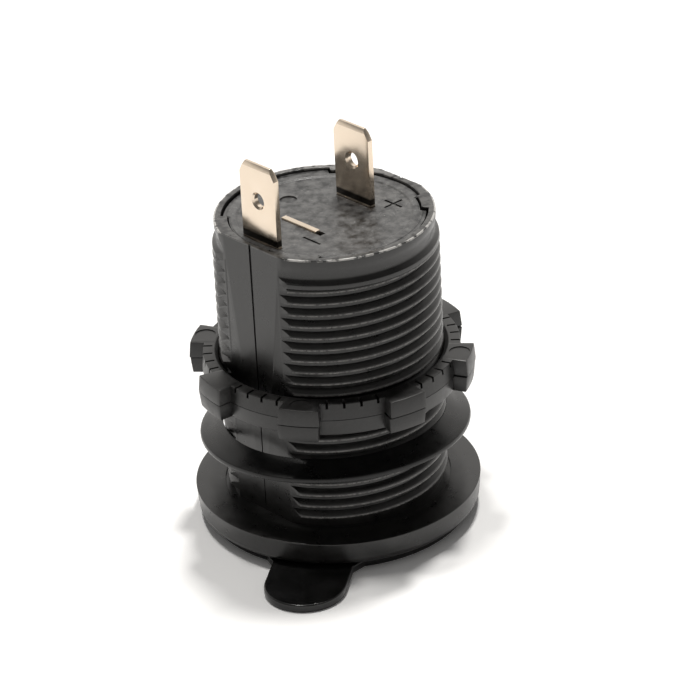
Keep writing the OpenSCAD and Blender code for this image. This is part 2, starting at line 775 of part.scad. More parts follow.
module front_face() {
    open_w = shell_w + 2 * shell_gap;
    open_h = shell_h + 2 * shell_gap;
    color("#262524") difference() {
        union() {
            translate([0, 0, face_front_z]) cylinder(r = face_bore_r - face_gap, h = face_t);
            for (side = [-1, 1]) at_port(side) translate([0, shell_y, face_front_z - port_lip_h])
                linear_extrude(height = port_lip_h + fuse)
                    intersection() {
                        round_rect(
                            open_w + 2 * port_lip_w, open_h + 2 * port_lip_w, port_corner_r + port_lip_w
                        );
                        translate([-shell_w, -shell_y]) square([2 * shell_w, 2 * shell_w]);
                    }
        }
        for (side = [-1, 1]) at_port(side) translate([0, shell_y, face_front_z - past])
            linear_extrude(height = face_t + 2 * past) round_rect(open_w, open_h, port_corner_r);
        at_light() translate([0, 0, face_front_z - past])
            cylinder(r = pipe_r + face_gap, h = face_t + 2 * past);
    }
}

module port_shell() {
    difference() {
        translate([0, shell_y, face_front_z]) linear_extrude(height = shell_len) difference() {
            round_rect(shell_w, shell_h, shell_corner_r);
            round_rect(shell_w - 2 * shell_t, shell_h - 2 * shell_t, shell_corner_r - shell_t);
        }
        for (x = [-1, 1]) translate([x * shell_w / 4, shell_y + shell_h / 2, 0])
            block(window_w, 3 * shell_t, face_front_z + window_from_mouth, window_len);
    }
}

module upper_shell() {
    color("#b8babd") port_shell();
}

module lower_shell() {
    color("#b8babd") at_port(-1) port_shell();
}

module port_tongue() {
    rim = 2 * (shell_t + block_gap);
    difference() {
        union() {
            translate([0, shell_y, block_z]) linear_extrude(height = tongue_block_len)
                round_rect(shell_w - rim, shell_h - rim, shell_corner_r - shell_t);
            translate([0, tongue_y + tongue_t / 2, 0])
                block(tongue_w, tongue_t, tongue_z, block_z - tongue_z + fuse);
        }
        for (x = CONTACTS_X) translate([x, tongue_y + tongue_t + (contact_t + contact_gap) / 2, 0])
            block(
                contact_w + 2 * contact_gap, contact_t + contact_gap,
                block_z - past, tongue_block_len + 2 * past
            );
    }
}

module upper_tongue() {
    color("#e9e7e0") port_tongue();
}

module lower_tongue() {
    color("#e9e7e0") at_port(-1) port_tongue();
}

// Contacts run along the tongue, through the block and down to feet on the board
module port_contacts() {
    strip_y = tongue_y + tongue_t;
    tip_z = tongue_z + contact_setback;
    bend_z = shell_back_z + contact_bend;
    for (x = CONTACTS_X) translate([x - contact_w / 2, 0, 0]) rotate([90, 0, 90])
        linear_extrude(height = contact_w) polygon([
            [strip_y, tip_z], [strip_y + contact_t, tip_z],
            [strip_y + contact_t, bend_z + contact_t], [board_t / 2 + contact_t, bend_z + contact_t],
            [board_t / 2 + contact_t, contact_foot_z], [board_t / 2, contact_foot_z],
            [board_t / 2, bend_z], [strip_y, bend_z]
        ]);
}

module upper_contacts() {
    color("#d8b45a") port_contacts();
}

module lower_contacts() {
    color("#d8b45a") at_port(-1) port_contacts();
}

module main_board() {
    color("#1f5a38") translate([0, board_t / 2, 0]) rotate([90, 0, 0]) linear_extrude(height = board_t)
        polygon([
            [-board_half_w, board_z], [board_half_w, board_z],
            [board_half_w, board_end_z - board_corner], [board_half_w - board_corner, board_end_z],
            [board_corner - board_half_w, board_end_z], [-board_half_w, board_end_z - board_corner]
        ]);
}

// A bent chip leg that reaches towards +X from the origin
module chip_leg() {
    translate([0, chip_t / 2, 0]) cube([leg_reach / 2, leg_t, leg_w]);
    translate([(leg_reach - leg_t) / 2, 0, 0]) cube([leg_t, chip_t / 2 + leg_t, leg_w]);
    translate([(leg_reach - leg_t) / 2, 0, 0]) cube([(leg_reach + leg_t) / 2, leg_t, leg_w]);
}

// An eight-leg chip lying on the upper side of the board at x and z
module chip(x, z) {
    translate([x, board_t / 2, z]) {
        translate([-chip_w / 2, chip_stand, -chip_len / 2]) cube([chip_w, chip_t, chip_len]);
        for (row = [-1.5:1:1.5]) translate([0, 0, row * leg_pitch - leg_w / 2]) {
            translate([chip_w / 2 - fuse, 0, 0]) chip_leg();
            mirror([1, 0, 0]) translate([chip_w / 2 - fuse, 0, 0]) chip_leg();
        }
    }
}

module converter_chip() {
    color("#202124") chip(chip_x, converter_z);
}

module port_chip() {
    color("#202124") chip(chip_x, port_chip_z);
}

module at_coil() {
    translate([-coil_x, -board_t / 2, coil_z]) rotate([90, 0, 0]) children();
}

module inductor_core() {
    color("#3a3b3d") at_coil() rotate_extrude() polygon([
        [0, 0], [coil_r, 0], [coil_r, coil_flange_t], [coil_waist_r, coil_flange_t],
        [coil_waist_r, coil_h - coil_flange_t], [coil_r, coil_h - coil_flange_t],
        [coil_r, coil_h], [0, coil_h]
    ]);
}

module inductor_coil() {
    room = coil_h - 2 * coil_flange_t;
    turn_r = room / coil_turns / 2;
    turn_gap = fuse / 10;
    color("#b5632f") at_coil() rotate_extrude() {
        translate([coil_waist_r, coil_flange_t]) square([coil_r - coil_waist_r - 2 * turn_r, room]);
        for (i = [0:coil_turns - 1])
            translate([coil_r - 2 * turn_r, coil_flange_t + (2 * i + 1) * turn_r])
                circle(r = turn_r - turn_gap, $fn = 24);
    }
}

// A capacitor can lying along Z beside x = 0 of the upper side, with two bent wires
module can(x) {
    translate([x, can_y, can_z]) {
        rotate_extrude() polygon([
            [0, 0], [can_r - can_edge, 0], [can_r, can_edge], [can_r, crimp_z - crimp_d],
            [can_r - crimp_d, crimp_z], [can_r, crimp_z + crimp_d],
            [can_r, can_len - can_edge], [can_r - can_edge, can_len], [0, can_len]
        ]);
        for (s = [-1, 1]) translate([s * wire_spread, 0, -wire_reach]) {
            cylinder(r = wire_r, h = wire_reach + fuse);
            translate([0, wire_r, 0]) rotate([90, 0, 0])
                cylinder(r = wire_r, h = can_r + can_rest + wire_r);
        }
    }
}

module output_capacitor() {
    color("#2d3550") can(-can_x);
}

module input_capacitor() {
    color("#2d3550") at_port(-1) can(can_x);
}

module rectifier_diode() {
    color("#1c1c1e") translate([-side_part_x, -(board_t + diode_t) / 2, 0])
        block(diode_w, diode_t, board_end_z - side_part_from_end - diode_len, diode_len);
}

module resettable_fuse() {
    color("#c2a33c") translate([-side_part_x, (board_t + fuse_t) / 2, 0])
        block(fuse_w, fuse_t, board_end_z - side_part_from_end - fuse_len, fuse_len);
}

module chip_resistors() {
    color("#24211f") for (i = [-1:1], side = [-1, 1]) at_port(side)
        translate([i * resistor_pitch, (board_t + resistor_t) / 2, 0])
            block(resistor_w, resistor_t, board_end_z - resistor_from_end - resistor_len, resistor_len);
}

module at_light() {
    translate([pipe_x, pipe_y, 0]) children();
}

module light_pipe() {
    color("#dfe9f2") at_light() {
        translate([0, 0, face_front_z]) cylinder(r = pipe_r, h = board_z - face_front_z);
        translate([0, 0, face_back_z + fuse]) cylinder(r = pipe_r + pipe_collar_w, h = pipe_collar_t);
    }
}

module status_led() {
    color("#f2ead0") translate([pipe_x, (board_t + led_d) / 2, 0])
        block(led_w, led_d, board_z + led_gap, led_len);
}

module dust_cap() {
    color("#1b1b1b") difference() {
        union() {
            translate([0, 0, cap_z]) cylinder(r = cap_r, h = cap_t);
            ring(plug_r, plug_r - plug_wall, cap_top_z - fuse, plug_h + fuse);
            rotate([0, 0, tab_turn]) {
                translate([0, -tab_w / 2, cap_z]) cube([tab_middle, tab_w, tab_t]);
                translate([tab_middle, 0, cap_z]) cylinder(r = tab_w / 2, h = tab_t);
            }
            at_hinge() {
                cross_bar(knuckle_r, knuckle_w);
                translate([-knuckle_w / 2, -hinge_dist + plug_r, -knuckle_r])
                    cube([knuckle_w, hinge_dist - plug_r, cap_t]);
            }
        }
        at_hinge() {
            cross_bar(pin_r + pin_gap, 2 * knuckle_w);
            for (side = [-1, 1]) translate([side * (ear_x + ear_w / 2), 0, 0])
                translate([-ear_w / 2 - ear_gap, -ear_r - hinge_room, -knuckle_r - past])
                    cube([ear_w + 2 * ear_gap, 2 * knuckle_r, cap_t + 2 * past]);
        }
    }
}

module hinge_pin() {
    color("#c9cbce") at_hinge() cross_bar(pin_r, 2 * (ear_x + ear_w));
}

housing();
end_plate();
positive_blade();
negative_blade();
spare_tab();
lock_nut();
gasket();
front_face();
upper_shell();
lower_shell();
upper_tongue();
lower_tongue();
upper_contacts();
lower_contacts();
main_board();
converter_chip();
port_chip();
inductor_core();
inductor_coil();
input_capacitor();
output_capacitor();
rectifier_diode();
resettable_fuse();
chip_resistors();
status_led();
light_pipe();
dust_cap();
hinge_pin();
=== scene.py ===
import math

import bmesh
import bpy
from mathutils import Matrix, Vector, noise


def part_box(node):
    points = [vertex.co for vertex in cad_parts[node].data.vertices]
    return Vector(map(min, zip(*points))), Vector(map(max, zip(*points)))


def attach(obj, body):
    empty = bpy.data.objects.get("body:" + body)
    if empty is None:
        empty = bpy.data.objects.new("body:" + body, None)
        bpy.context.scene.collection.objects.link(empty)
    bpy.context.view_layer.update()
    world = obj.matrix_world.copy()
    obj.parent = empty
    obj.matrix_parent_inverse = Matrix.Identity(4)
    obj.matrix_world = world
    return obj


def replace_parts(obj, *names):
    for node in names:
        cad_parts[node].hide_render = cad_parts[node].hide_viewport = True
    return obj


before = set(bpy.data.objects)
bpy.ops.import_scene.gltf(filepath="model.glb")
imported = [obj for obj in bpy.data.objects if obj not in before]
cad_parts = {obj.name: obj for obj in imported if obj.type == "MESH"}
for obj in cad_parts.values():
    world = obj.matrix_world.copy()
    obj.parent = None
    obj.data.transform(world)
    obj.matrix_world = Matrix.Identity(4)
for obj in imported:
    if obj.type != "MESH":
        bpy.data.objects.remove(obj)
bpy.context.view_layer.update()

MM = 0.001


# The table, the lamps and the camera
# A plain pale sheet carries the socket. Two lamps stand high behind it and to its left, so
# that short shadows fall to the front left and to the right, and a pale room lights the rest.
def new_tree(name):
    material = bpy.data.materials.new(name)
    material.use_nodes = True
    material.node_tree.nodes.clear()
    return material, material.node_tree


def add_node(tree, kind, **values):
    made = tree.nodes.new(kind)
    for key, value in values.items():
        if key in made.bl_rna.properties:
            setattr(made, key, value)
        else:
            made.inputs[key.replace("_", " ")].default_value = value
    return made


def shade(mesh):
    """Shades a mesh smooth, with sharp edges where two faces meet at more than 32 degrees."""
    mesh.shade_smooth()
    mesh.set_sharp_from_angle(angle=math.radians(32))


def mesh_object(name, bm):
    mesh = bpy.data.meshes.new(name)
    bm.to_mesh(mesh)
    bm.free()
    shade(mesh)
    made = bpy.data.objects.new(name, mesh)
    bpy.context.scene.collection.objects.link(made)
    return made


rest_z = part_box("dust_cap")[0].z
table_half = 1.2

bm = bmesh.new()
bmesh.ops.create_grid(bm, x_segments=1, y_segments=1, size=table_half)
bmesh.ops.translate(bm, verts=bm.verts, vec=(0, 0, rest_z))
table = mesh_object("table", bm)

sheet, tree = new_tree("pale_sheet")
out = add_node(tree, "ShaderNodeOutputMaterial")
paper = add_node(tree, "ShaderNodeBsdfDiffuse", Color=(0.84, 0.835, 0.83, 1))
bright_paper = add_node(tree, "ShaderNodeBsdfDiffuse", Color=(1.14, 1.14, 1.14, 1))
pick = add_node(tree, "ShaderNodeMixShader")
path = add_node(tree, "ShaderNodeLightPath")
plain = add_node(tree, "ShaderNodeMath", operation="MAXIMUM")
tree.links.new(path.outputs["Is Camera Ray"], plain.inputs[0])
tree.links.new(path.outputs["Is Glossy Ray"], plain.inputs[1])
tree.links.new(plain.outputs[0], pick.inputs[0])
tree.links.new(paper.outputs[0], pick.inputs[1])
tree.links.new(bright_paper.outputs[0], pick.inputs[2])
tree.links.new(pick.outputs[0], out.inputs[0])
table.data.materials.append(sheet)

room = bpy.data.worlds.new("pale_room")
bpy.context.scene.world = room
room.use_nodes = True
tree = room.node_tree
tree.nodes.clear()
out = add_node(tree, "ShaderNodeOutputWorld")
ambient = add_node(tree, "ShaderNodeBackground", Color=(1, 0.985, 0.965, 1), Strength=0.2)
backdrop = add_node(tree, "ShaderNodeBackground", Color=(1, 1, 1, 1), Strength=1.0)
mirrored = add_node(tree, "ShaderNodeBackground", Color=(1, 0.975, 0.94, 1))
direction = add_node(tree, "ShaderNodeTexCoord")
to_viewer = add_node(tree, "ShaderNodeVectorMath", operation="DOT_PRODUCT")
to_viewer.inputs[1].default_value = (0.743, -0.669, 0.15)
fade = add_node(tree, "ShaderNodeMapRange", From_Min=-0.75, From_Max=-0.05, To_Min=1.0, To_Max=0.16)
heights = add_node(tree, "ShaderNodeSeparateXYZ")
low = add_node(tree, "ShaderNodeMapRange", From_Min=0.08, From_Max=0.36, To_Min=1.0, To_Max=0.16)
brighter = add_node(tree, "ShaderNodeMath", operation="MAXIMUM")
in_mirror = add_node(tree, "ShaderNodeMixShader")
in_view = add_node(tree, "ShaderNodeMixShader")
path = add_node(tree, "ShaderNodeLightPath")
tree.links.new(direction.outputs["Generated"], to_viewer.inputs[0])
tree.links.new(to_viewer.outputs["Value"], fade.inputs[0])
tree.links.new(direction.outputs["Generated"], heights.inputs[0])
tree.links.new(heights.outputs["Z"], low.inputs[0])
tree.links.new(fade.outputs[0], brighter.inputs[0])
tree.links.new(low.outputs[0], brighter.inputs[1])
tree.links.new(brighter.outputs[0], mirrored.inputs["Strength"])
tree.links.new(path.outputs["Is Glossy Ray"], in_mirror.inputs[0])
tree.links.new(ambient.outputs[0], in_mirror.inputs[1])
tree.links.new(mirrored.outputs[0], in_mirror.inputs[2])
tree.links.new(path.outputs["Is Camera Ray"], in_view.inputs[0])
tree.links.new(in_mirror.outputs[0], in_view.inputs[1])
tree.links.new(backdrop.outputs[0], in_view.inputs[2])
tree.links.new(in_view.outputs[0], out.inputs[0])


def soft_lamp(name, turn, height, distance, size, power, color):
    """An area lamp that looks at the socket from a compass turn and a height, both in degrees."""
    data = bpy.data.lights.new(name, "AREA")
    data.shape = "DISK"
    data.size = size
    data.energy = power
    data.color = color
    lamp = bpy.data.objects.new(name, data)
    bpy.context.scene.collection.objects.link(lamp)
    away = Vector((
        math.sin(math.radians(turn)) * math.cos(math.radians(height)),
        -math.cos(math.radians(turn)) * math.cos(math.radians(height)),
        math.sin(math.radians(height)),
    ))
    lamp.location = away * distance
    lamp.rotation_euler = away.to_track_quat("Z", "Y").to_euler()
    return lamp


view_turn = 48
lamp_distance = 1.5
lamp_size = 0.18
warm_white = (1, 0.98, 0.95)
soft_lamp("lamp_left", view_turn - 133, 78, lamp_distance, lamp_size, 8.0, warm_white)
soft_lamp("lamp_behind", view_turn + 159, 70, lamp_distance, lamp_size, 13.4, warm_white)

camera_turn = math.radians(view_turn)
camera_tilt = math.radians(27.65)
camera_roll = math.radians(3)
camera_distance = 460.3 * MM
camera_shift_right = 1.12 * MM
camera_shift_up = 17.12 * MM
right = Vector((1, 0, 0))
ahead = Vector((0, math.cos(camera_tilt), -math.sin(camera_tilt)))
upward = Vector((0, math.sin(camera_tilt), math.cos(camera_tilt)))
place = -ahead * camera_distance + right * camera_shift_right + upward * camera_shift_up
rolled_right = right * math.cos(camera_roll) - upward * math.sin(camera_roll)
rolled_up = right * math.sin(camera_roll) + upward * math.cos(camera_roll)
facing = Matrix((rolled_right, rolled_up, -ahead)).transposed().to_4x4()
camera_data = bpy.data.cameras.new("camera")
camera_data.sensor_width = 36
camera_data.lens = 186.5
camera_data.clip_start = 0.01
camera = bpy.data.objects.new("camera", camera_data)
bpy.context.scene.collection.objects.link(camera)
camera.matrix_world = Matrix.Rotation(camera_turn, 4, "Z") @ Matrix.Translation(place) @ facing
bpy.context.scene.camera = camera
bpy.context.scene.view_settings.view_transform = "Standard"


# The barrel
# The long tube of the moulded housing, with its thread, two flats, and a flared rim behind a
# narrow land. It is one moulding with the flange, in glass-filled nylon with a satin skin.
root_r = 13.7 * MM
crest_r = 14.4 * MM
rim_r = 14.0 * MM
front_flat = 12.75 * MM
back_flat = 13.5 * MM
barrel_h = 37.7 * MM
band_z = 34.85 * MM
pitch = 1.6 * MM
first_crest = 0.615 * MM
seat_r = 13.11 * MM
key_seat_r = 12.26 * MM
back_seat_r = 12.72 * MM
key_angle = 43.0
back_key_angle = 27.0
rim_wear = 0.07 * MM
seat_z = 35.2 * MM
bore_r = 11.6 * MM
face_bore_r = 12.25 * MM
ledge_z = 1.6 * MM


def spin_profile(bm, points, steps=180, rise=0.0):
    """Turns a closed profile of (radius, height) points about Z, climbing by rise over the turn."""
    verts = [bm.verts.new((r, 0, z)) for r, z in points]
    edges = [bm.edges.new(pair) for pair in zip(verts, verts[1:] + verts[:1])]
    bmesh.ops.spin(
        bm, geom=verts + edges, cent=(0, 0, 0), axis=(0, 0, 1), dvec=(0, 0, rise / steps),
        angle=2 * math.pi, steps=steps, use_merge=rise == 0,
    )
    bmesh.ops.remove_doubles(bm, verts=bm.verts, dist=1e-7)


def rounded(points, radii, segments=3):
    """A closed outline of points with its corners rounded by the given radii."""
    made = []
    for i, (corner, radius) in enumerate(zip(points, radii)):
        here = Vector(corner)
        before = Vector(points[i - 1]) - here
        after = Vector(points[(i + 1) % len(points)]) - here
        if radius <= 0:
            made.append(tuple(here))
            continue
        start = here + before.normalized() * radius
        end = here + after.normalized() * radius
        for k in range(segments + 1):
            t = k / segments
            made.append(tuple(start * (1 - t) ** 2 + here * 2 * t * (1 - t) + end * t * t))
    return made


def cut_beyond(bm, point, normal):
    """Removes what lies beyond a plane."""
    bmesh.ops.bisect_plane(
        bm, geom=bm.verts[:] + bm.edges[:] + bm.faces[:], dist=1e-7,
        plane_co=point, plane_no=normal, clear_outer=True,
    )


def close_cuts(bm):
    """Fills the open edges that the cuts have left."""
    bmesh.ops.holes_fill(bm, edges=[e for e in bm.edges if e.is_boundary], sides=0)


def cut_flats(bm, front, back):
    """Cuts both flats at their distances from the axis."""
    for y in (-front, back):
        cut_beyond(bm, (0, y, 0), (0, y, 0))
    close_cuts(bm)


def turn_verts(bm, verts, degrees, axis="Z"):
    """Turns vertices about an axis through the origin."""
    turned = Matrix.Rotation(math.radians(degrees), 3, axis)
    bmesh.ops.rotate(bm, verts=verts, cent=(0, 0, 0), matrix=turned)


def bar(bm, low, high, ease=0.0, turn=0.0):
    """A box between two corners, in millimetres, with eased edges and turned about Z."""
    size = [(b - a) * MM for a, b in zip(low, high)]
    middle = [(a + b) * MM / 2 for a, b in zip(low, high)]
    made = bmesh.ops.create_cube(bm, size=1)["verts"]
    bmesh.ops.scale(bm, verts=made, vec=size)
    bmesh.ops.translate(bm, verts=made, vec=middle)
    if turn:
        turn_verts(bm, made, turn)
    if ease:
        edges = list({e for v in made for e in v.link_edges})
        bmesh.ops.bevel(
            bm, geom=edges, offset=ease * MM, affect="EDGES", segments=3, profile=0.5, material=-1,
        )
    return made


def carve(piece, cutter):
    """Cuts the shape of the bmesh cutter out of a piece."""
    tool_mesh = bpy.data.meshes.new("cutter")
    bmesh.ops.recalc_face_normals(cutter, faces=cutter.faces)
    cutter.to_mesh(tool_mesh)
    cutter.free()
    tool = bpy.data.objects.new("cutter", tool_mesh)
    bpy.context.scene.collection.objects.link(tool)
    cut = piece.modifiers.new("cut", "BOOLEAN")
    cut.object = tool
    bpy.context.view_layer.update()
    graph = bpy.context.evaluated_depsgraph_get()
    whole = bpy.data.meshes.new_from_object(piece.evaluated_get(graph))
    plain = piece.data
    piece.modifiers.clear()
    piece.data = whole
    bpy.data.meshes.remove(plain)
    whole.name = piece.name
    bpy.data.objects.remove(tool)
    bpy.data.meshes.remove(tool_mesh)
    shade(whole)


def as_mesh(name, bm):
    """Turns a bmesh into a mesh whose faces point outwards."""
    bmesh.ops.recalc_face_normals(bm, faces=bm.faces)
    mesh = bpy.data.meshes.new(name)
    bm.to_mesh(mesh)
    bm.free()
    return mesh


def add_meshes(piece, *extras):
    """Adds further meshes to a piece."""
    bm = bmesh.new()
    bm.from_mesh(piece.data)
    for extra in extras:
        bm.from_mesh(extra)
        bpy.data.meshes.remove(extra)
    bm.to_mesh(piece.data)
    bm.free()
    shade(piece.data)


def tooth(z):
    """One thread ridge as (radius, height) points: a rounded crest above a steep lower flank."""
    return [(root_r, z - 0.5 * MM)] + [
        (crest_r - inset * MM, z + up * MM)
        for inset, up in ((0.09, -0.35), (0.01, -0.27), (0.0, -0.18), (0.04, -0.02), (0.14, 0.2))
    ] + [(root_r, z + 0.6 * MM)]


teeth = 21
buried_r = root_r - 0.1 * MM
sleeve_low = first_crest - pitch / 2
sleeve_high = first_crest + (teeth - 0.5) * pitch
sleeve = [(buried_r, sleeve_low), (root_r, sleeve_low)]
for i in range(teeth):
    sleeve += tooth(first_crest + i * pitch)
sleeve += [(root_r, sleeve_high), (buried_r, sleeve_high)]
bm = bmesh.new()
spin_profile(bm, sleeve, steps=240, rise=pitch)
turn_verts(bm, bm.verts, 90)
cut_flats(bm, front_flat, back_flat)
cut_beyond(bm, (0, 0, -0.15 * MM), (0, 0, -1))
close_cuts(bm)
ridges = as_mesh("thread_ridges", bm)

land_r = crest_r - 0.04 * MM
tube = rounded(
    [
        (root_r, -0.3 * MM), (root_r, 33.5 * MM), (land_r, 33.82 * MM), (land_r, 34.4 * MM),
        (root_r, band_z), (root_r, 35.7 * MM), (rim_r, 36.7 * MM), (rim_r, barrel_h),
        (seat_r, barrel_h), (seat_r, seat_z), (bore_r, seat_z), (bore_r, ledge_z),
        (face_bore_r, ledge_z), (face_bore_r, -0.3 * MM),
    ],
    [v * MM for v in (0, 0.05, 0.08, 0.1, 0.3, 0.4, 0.4, 0.13, 0.1, 0, 0, 0, 0, 0)],
)
bm = bmesh.new()
spin_profile(bm, tube, steps=360)
for v in bm.verts:
    radius = math.hypot(v.co.x, v.co.y)
    off_flat = math.degrees(math.atan2(abs(v.co.x), abs(v.co.y)))
    if v.co.z > seat_z - 0.01 * MM and bore_r + 0.1 * MM < radius < seat_r + 0.13 * MM:
        if off_flat < key_angle:
            key_r = back_seat_r if v.co.y > 0 and off_flat < back_key_angle else key_seat_r
            v.co.xy *= (radius - seat_r + key_r) / radius
    if v.co.z > barrel_h - 0.2 * MM:
        ragged = noise.noise(Vector((v.co.x, v.co.y, 0)) * 900)
        fine = noise.noise(Vector((v.co.x, v.co.y, 0)) * 3100)
        v.co.z -= rim_wear * abs(ragged + 0.6 * fine)
        v.co.xy *= 1 - 0.004 * abs(ragged * fine) * 2
cut_flats(bm, front_flat - 0.01 * MM, back_flat - 0.01 * MM)
bmesh.ops.recalc_face_normals(bm, faces=bm.faces)
barrel = mesh_object("barrel", bm)

groove_half = 0.19
groove_reach = 0.35
foot_width = 0.35
cutter = bmesh.new()
for y in (-12.9, 13.65):
    groove = bar(cutter, (-groove_half, y - groove_reach, 0.5), (groove_half, y + groove_reach, 38.5))
    for v in groove:
        v.co.x *= 1 if v.co.z > 30 * MM else foot_width
carve(barrel, cutter)
add_meshes(barrel, ridges)
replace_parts(barrel, "housing")
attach(barrel, "socket")


def effect(name, inputs, outputs):
    """An empty node group with named float inputs and outputs."""
    made = bpy.data.node_groups.new(name, "ShaderNodeTree")
    for label, value in inputs.items():
        made_input = made.interface.new_socket(label, in_out="INPUT", socket_type="NodeSocketFloat")
        made_input.default_value = value
    for label in outputs:
        made.interface.new_socket(label, in_out="OUTPUT", socket_type="NodeSocketFloat")
    return made, made.nodes.new("NodeGroupInput"), made.nodes.new("NodeGroupOutput")


# Fine grain, soft patches and thin scratches, which every moulded or plated skin here shares
skin, given, taken = effect(
    "worn_skin", {"Grain Size": 5000, "Patch Size": 500, "Scratch Size": 260},
    ["Grain", "Patches", "Scratches", "Specks"],
)
place = add_node(skin, "ShaderNodeTexCoord")
grain = add_node(skin, "ShaderNodeTexNoise", Detail=3, Roughness=0.6)
patches = add_node(skin, "ShaderNodeTexNoise", Detail=5, Roughness=0.65)
spread = add_node(skin, "ShaderNodeMapRange", From_Min=0.36, From_Max=0.64)
swirl = add_node(skin, "ShaderNodeTexNoise", Detail=1.5, Distortion=1.2)
centre = add_node(skin, "ShaderNodeMath", operation="SUBTRACT")
centre.inputs[1].default_value = 0.5
size = add_node(skin, "ShaderNodeMath", operation="ABSOLUTE")
thin = add_node(skin, "ShaderNodeMapRange", From_Min=0.0, From_Max=0.006, To_Min=1.0, To_Max=0.0)
broken = add_node(skin, "ShaderNodeMath", operation="MULTIPLY")
specks = add_node(skin, "ShaderNodeMapRange", From_Min=0.66, From_Max=0.76)
for made, label in ((grain, "Grain Size"), (patches, "Patch Size"), (swirl, "Scratch Size")):
    skin.links.new(place.outputs["Object"], made.inputs["Vector"])
    skin.links.new(given.outputs[label], made.inputs["Scale"])
skin.links.new(patches.outputs[0], spread.inputs[0])
skin.links.new(swirl.outputs[0], centre.inputs[0])
skin.links.new(centre.outputs[0], size.inputs[0])
skin.links.new(size.outputs[0], thin.inputs[0])
skin.links.new(thin.outputs[0], broken.inputs[0])
skin.links.new(spread.outputs[0], broken.inputs[1])
skin.links.new(grain.outputs[0], specks.inputs[0])
skin.links.new(grain.outputs[0], taken.inputs["Grain"])
skin.links.new(specks.outputs[0], taken.inputs["Specks"])
skin.links.new(spread.outputs[0], taken.inputs["Patches"])
skin.links.new(broken.outputs[0], taken.inputs["Scratches"])


def worn(
    name, dark, light, rough, grain=5000, patch=500, scratch=260, lift=0.01, deep=0.15, dots=0.0, **fixed,
):
    """A skin whose colour and roughness vary in patches, with grain, thin scratches and specks."""
    made, tree = new_tree(name)
    out = add_node(tree, "ShaderNodeOutputMaterial")
    shader = add_node(tree, "ShaderNodeBsdfPrincipled", **fixed)
    wear = add_node(tree, "ShaderNodeGroup", node_tree=skin)
    for label, value in (("Grain Size", grain), ("Patch Size", patch), ("Scratch Size", scratch)):
        wear.inputs[label].default_value = value
    tint = add_node(tree, "ShaderNodeMix", data_type="RGBA")
    tint.inputs["A"].default_value = (*dark, 1)
    tint.inputs["B"].default_value = (*light, 1)
    marked = add_node(tree, "ShaderNodeMix", data_type="RGBA")
    marked.inputs["B"].default_value = (*[min(1, c * 2.2 + 0.03) for c in light], 1)
    gloss = add_node(tree, "ShaderNodeMapRange", To_Min=rough[0], To_Max=rough[1])
    faint = add_node(tree, "ShaderNodeMath", operation="MULTIPLY")
    faint.inputs[1].default_value = deep
    dotted = add_node(tree, "ShaderNodeMath", operation="MULTIPLY_ADD")
    dotted.inputs[1].default_value = dots
    raised = add_node(tree, "ShaderNodeBump", Strength=0.6, Distance=lift * MM)
    tree.links.new(wear.outputs["Patches"], tint.inputs["Factor"])
    tree.links.new(wear.outputs["Patches"], gloss.inputs[0])
    tree.links.new(wear.outputs["Scratches"], faint.inputs[0])
    tree.links.new(wear.outputs["Specks"], dotted.inputs[0])
    tree.links.new(faint.outputs[0], dotted.inputs[2])
    tree.links.new(dotted.outputs[0], marked.inputs["Factor"])
    tree.links.new(tint.outputs["Result"], marked.inputs["A"])
    tree.links.new(marked.outputs["Result"], shader.inputs["Base Color"])
    tree.links.new(gloss.outputs[0], shader.inputs["Roughness"])
    tree.links.new(wear.outputs["Grain"], raised.inputs["Height"])
    tree.links.new(raised.outputs[0], shader.inputs["Normal"])
    tree.links.new(shader.outputs[0], out.inputs[0])
    return made


satin = worn(
    "satin_black_plastic", (0.006, 0.0058, 0.0055), (0.014, 0.0135, 0.013), (0.27, 0.36), lift=0.003,
    dots=0.25, Specular_IOR_Level=0.58,
)

# Pale torn flash on the rear rim with a painted pale sheen on the rim's far side, and painted highlight lines
# along the crests of the thread
rim_marks_and_painted_light, given, taken = effect(
    "rim_flash_and_painted_light",
    {"Level": barrel_h - 0.23 * MM, "Reach": rim_r - 0.22 * MM, "Crest": crest_r - 0.025 * MM},
    ["Flash", "Crest_Highlights"],
)
place = add_node(rim_marks_and_painted_light, "ShaderNodeTexCoord")
split = add_node(rim_marks_and_painted_light, "ShaderNodeSeparateXYZ")
flat = add_node(rim_marks_and_painted_light, "ShaderNodeVectorMath", operation="MULTIPLY")
flat.inputs[1].default_value = (1, 1, 0)
radius = add_node(rim_marks_and_painted_light, "ShaderNodeVectorMath", operation="LENGTH")
far_side = add_node(rim_marks_and_painted_light, "ShaderNodeVectorMath", operation="DOT_PRODUCT")
far_side.inputs[1].default_value = (-0.6, 0.8, 0)
ragged = add_node(rim_marks_and_painted_light, "ShaderNodeTexNoise", Scale=900, Detail=4)
above = add_node(rim_marks_and_painted_light, "ShaderNodeMath", operation="GREATER_THAN")
beyond = add_node(rim_marks_and_painted_light, "ShaderNodeMath", operation="GREATER_THAN")
torn = add_node(rim_marks_and_painted_light, "ShaderNodeMapRange", From_Min=0.4, From_Max=0.52)
